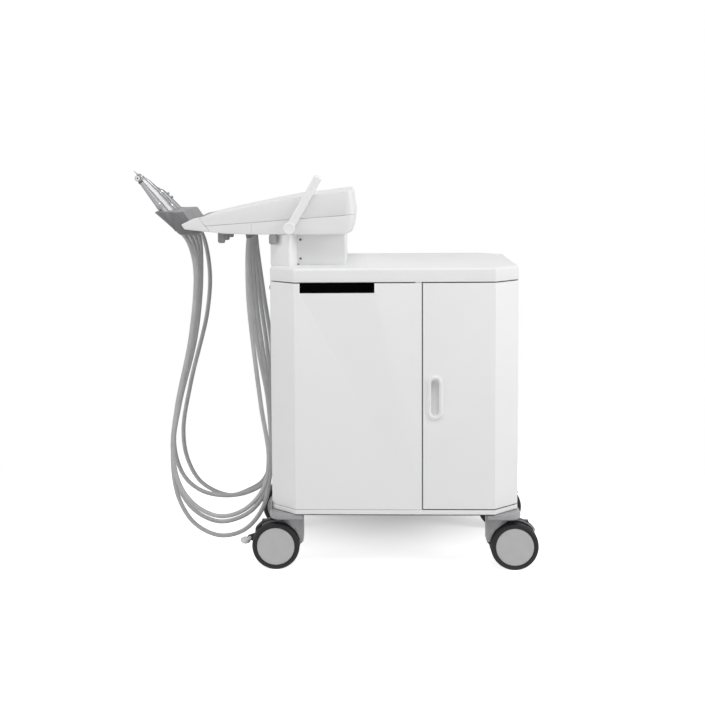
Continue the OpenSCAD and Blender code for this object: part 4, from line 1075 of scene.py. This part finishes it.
def make_scaler():
    m = tool_frame(1)
    grip_part = round_off(BUTT + [(8.5, 10), (8.3, 30), (7.9, 50), (7.3, 60)], 0.6, 3)
    nose = round_off([(7.2, 62), (6.6, 72), (5.2, 80), (3.6, 84.5), (0, 84.8)], 0.6, 3)
    body = grip_part + [(6.9, 60.5), (6.9, 61.5)] + nose
    local_piece("scaler.body", m, spun((body, 56)), "scaler", TOOL_WHITE, ("scaler",))
    tip = [(0, 84), (3.4, 84), (3.4, 87), (2.6, 88), (2.6, 90), (1.7, 91.5), (1.3, 100), (0.95, 106),
           (0.55, 111.2), (0, 112)]
    local_piece("scaler.tip", m, spun((round_off(tip, 0.4, 2), 32)), "scaler", STEEL)


def make_contra_angle():
    """The handpiece sits on its motor."""
    m = tool_frame(2)
    motor = round_off(BUTT + [(8.5, 4)], 0.5, 3) + rings_on(5, 15, 8.45, 4)
    motor += round_off([(8.35, 16), (8.2, 30), (7.8, 38)], 0.3, 2) + [(7.3, 38.3), (7.3, 40.0)]
    neck = [(7.7, 40.4), (7.2, 48), (5.6, 66), (4.4, 76), (3.8, 84), (3.8, 90), (0, 91)]
    body = motor + round_off(neck, 0.6, 3)
    local_piece("contra_angle.body", m, spun((body, 56)), "contra_angle", STEEL, ("contra_angle",))
    head = raised(92, -15, "Y")
    side = head @ raised(9, 90)
    stub = round_off([(0, -2), (3.6, -2), (3.6, 8), (0, 8)], 0.4, 2)
    drum = round_off([(0, -5.5), (3.6, -5.5), (4.6, -4.4), (4.6, 4.6), (4.0, 5.5), (0, 5.5)], 0.5, 3)
    bur = [(0, -13), (0.4, -13), (0.9, -12), (0.9, -5), (0, -5)]
    parts = (stub, 36, head), (drum, 40, side), (bur, 20, side)
    local_piece("contra_angle.head", m, spun(*parts), "contra_angle", STEEL)


def make_straight():
    nose = [(7.6, 31), (7.6, 44), (6.6, 46), (6.6, 60), (5.4, 73), (4.0, 86), (2.6, 88), (2.6, 92),
            (1.2, 92.4), (1.2, 99.5), (0.5, 101), (0, 101)]
    body = round_off(BUTT + [(8.5, 6), (7.6, 10)], 0.5, 3) + rings_on(12, 30, 7.6, 7, 0.25)
    body += round_off(nose, 0.5, 3)
    local_piece("straight_handpiece.body", tool_frame(3), spun((body, 56)), "straight_handpiece", STEEL,
                ("straight_handpiece",))


def make_syringe():
    m = tool_frame(4)
    body = round_off(BUTT + [(8.5, 46), (6.8, 52), (4.2, 56)], 0.7, 3)
    body += rings_on(56.4, 60, 4.3, 3, 0.25) + [(3.0, 60.6), (1.8, 61), (1.8, 64), (0, 64)]
    bm = spun((body, 56))
    places = {"air_button": 24, "water_button": 36}
    for z in places.values():
        bm = boolean(bm, spun(([(0, 1.0), (2.66, 1.0), (2.66, 18), (0, 18)], 32, raised(z, 90, "Y"))))
    bmesh.ops.create_uvsphere(bm, u_segments=24, v_segments=12, radius=0.0021, matrix=raised(64))
    nozzle = [(0, 0), (1.8, 0), (1.8, 23.4), (1.5, 24), (0.9, 24), (0.8, 23), (0, 23)]
    lathe(bm, nozzle, raised(64, -28, "Y"), 28)
    local_piece("syringe.body", m, bm, "syringe", STEEL, ("syringe",))
    button = [(0, 3), (2.5, 3), (2.5, 11.2), (3.4, 11.2), (3.4, 11.9), (2.8, 12.4), (1.6, 12.3), (0, 12.2)]
    for node, mat in (("air_button", BLUE), ("water_button", GREEN)):
        place = m @ raised(places[node], 90, "Y")
        bm = spun((round_off(button, 0.2, 2), 36))
        local_piece(node + ".skin", place, bm, node, mat, (node,))


make_holder()
make_turbine()
make_scaler()
make_contra_angle()
make_straight()
make_syringe()

# ---- inside the cabinet

def make_inside():
    dress("compressor", IRON, 1.5, 2, 28, 40)
    dress("air_tank", TANK, 0.8, 2, 28, 40)
    dress("control_block", ALLOY, 0.8, 2, 28, 40)
    bm = bmesh.new()
    m = aim(P(132.5, 95, 124), (0, 0, 1))
    half = [(0, 1.5), (38, 0.6), (41, 0), (44, 3), (44, 60), (43.2, 62), (43.2, 66), (44, 68), (44, 180),
            (32, 200), (19, 211)]
    lathe(bm, round_off(half, 2.5, 4) + [(17.5, 211.5), (17.5, 213)], m, 72)
    skin("water_bottle", bm, BOTTLE)
    bm = bmesh.new()
    half = round_off([(17.6, 212), (18.9, 212), (19, 214), (19, 234), (17.8, 236), (0, 236)], 0.7, 3)
    lathe(bm, half, m, 96,
          lambda r, z, a: r - (0.5 * (0.5 + 0.5 * cos(48 * a)) if 214 < z < 233 and r > 18 else 0))
    finish_mesh("bottle_cap", bm, "root", BLUE, 40, ())


make_inside()

# ---- stage and light

WORLD_LIGHT = 0.34                          # the world's strength on the object
FLOOR_GREY = (0.8, 0.8, 0.8, 1)             # the floor for other rays
# Painted light on the floor: an emission that is nil at a spot behind the unit and rises away from it, so the
# shadow round the unit reads lighter than the lamps make it
PAINTED_LIGHT_SPOT, PAINTED_LIGHT_SPREAD = (CAB, 0.44, 0), (0.46, 0.55, 1)
PAINTED_LIGHT_NEAR, PAINTED_LIGHT_MOST = 0.10, 0.80
FADE_SPREAD, FADE_NEAR = (1.2, 1.2, 1), 0.4
TARGET = Vector((0, 0, 0.4))
LAMPS = [                                   # name, place, size and power
    ("right", (4.6, -1.7, 2.0), 2.6, 90),
    ("left", (-4.4, -2.2, 1.8), 2.6, 52),
    ("top", (0.5, -2.8, 5.5), 3.0, 138),
]


def direct_rays(nt):
    """1 for camera, glossy and transmission rays, 0 for the others."""
    path = add_node(nt, "LightPath")
    out = path.outputs["Is Camera Ray"]
    for kind in ("Is Glossy Ray", "Is Transmission Ray"):
        most = add_node(nt, "Math", operation="MAXIMUM")
        nt.links.new(out, most.inputs[0])
        nt.links.new(path.outputs[kind], most.inputs[1])
        out = most.outputs[0]
    return out


def ramp(nt, spot, spread, near, lo, hi):
    """A value that goes from lo to hi with the distance from a spot, over an oval spread."""
    place = add_node(nt, "TexCoord").outputs["Object"]
    for operation, value in (("SUBTRACT", spot), ("DIVIDE", spread), ("LENGTH", None)):
        values = {1: value} if value else {}
        n = add_node(nt, "VectorMath", values, operation=operation)
        nt.links.new(place, n.inputs[0])
        place = n.outputs["Value" if operation == "LENGTH" else "Vector"]
    ends = {"From Min": near, "From Max": 1.0, "To Min": lo, "To Max": hi}
    r = add_node(nt, "MapRange", ends, interpolation_type="SMOOTHSTEP")
    nt.links.new(place, r.inputs["Value"])
    return r.outputs["Result"]


def make_floor():
    bm = bmesh.new()
    for k in range(96):
        a = 2 * pi * k / 96
        bm.verts.new((9 * cos(a), 9 * sin(a), 0))
    bm.faces.new(bm.verts)
    me = bpy.data.meshes.new("floor")
    bm.to_mesh(me)
    bm.free()
    ob = bpy.data.objects.new("floor", me)
    bpy.context.scene.collection.objects.link(ob)
    m = bpy.data.materials.new("floor")
    m.use_nodes = True
    nt = m.node_tree
    nt.nodes.remove(nt.nodes["Principled BSDF"])
    plain = add_node(nt, "BsdfDiffuse", {"Color": FLOOR_GREY})
    lit = add_node(nt, "BsdfDiffuse", {"Color": (1, 1, 1, 1)})
    # Painted light: the floor glows more the further it lies from the spot behind the unit
    painted_light = add_node(nt, "Emission")
    add = add_node(nt, "AddShader")
    nt.links.new(ramp(nt, PAINTED_LIGHT_SPOT, PAINTED_LIGHT_SPREAD, PAINTED_LIGHT_NEAR, 0, PAINTED_LIGHT_MOST), painted_light.inputs["Strength"])
    nt.links.new(lit.outputs[0], add.inputs[0])
    nt.links.new(painted_light.outputs[0], add.inputs[1])

    def blend(share, a, z):
        n = add_node(nt, "MixShader")
        for k, source in enumerate((share, a.outputs[0], z.outputs[0])):
            nt.links.new(source, n.inputs[k])
        return n

    # Away from the object the floor is plain white, like the backdrop
    faded = blend(ramp(nt, (0, 0, 0), FADE_SPREAD, FADE_NEAR, 0, 1), add, add_node(nt, "Emission"))
    floor = blend(direct_rays(nt), plain, faded)
    nt.links.new(floor.outputs[0], nt.nodes["Material Output"].inputs["Surface"])
    me.materials.append(m)


def make_world():
    world = bpy.data.worlds.new("world")
    bpy.context.scene.world = world
    world.use_nodes = True
    nt = world.node_tree
    back = nt.nodes["Background"]
    back.inputs["Color"].default_value = (1, 1, 1, 1)
    strength = add_node(nt, "MapRange", {"To Min": WORLD_LIGHT, "To Max": 1.0})
    nt.links.new(direct_rays(nt), strength.inputs["Value"])
    nt.links.new(strength.outputs["Result"], back.inputs["Strength"])


def make_lamp(name, place, size, power):
    data = bpy.data.lights.new(name, "AREA")
    data.shape = "RECTANGLE"
    data.size, data.size_y, data.energy = size, size, power
    ob = bpy.data.objects.new(name, data)
    bpy.context.scene.collection.objects.link(ob)
    ob.location = place
    ob.rotation_mode = "QUATERNION"
    ob.rotation_quaternion = (TARGET - Vector(place)).to_track_quat("-Z", "Y")


make_floor()
make_world()
for spec in LAMPS:
    make_lamp(*spec)
bpy.context.scene.view_settings.view_transform = "Standard"
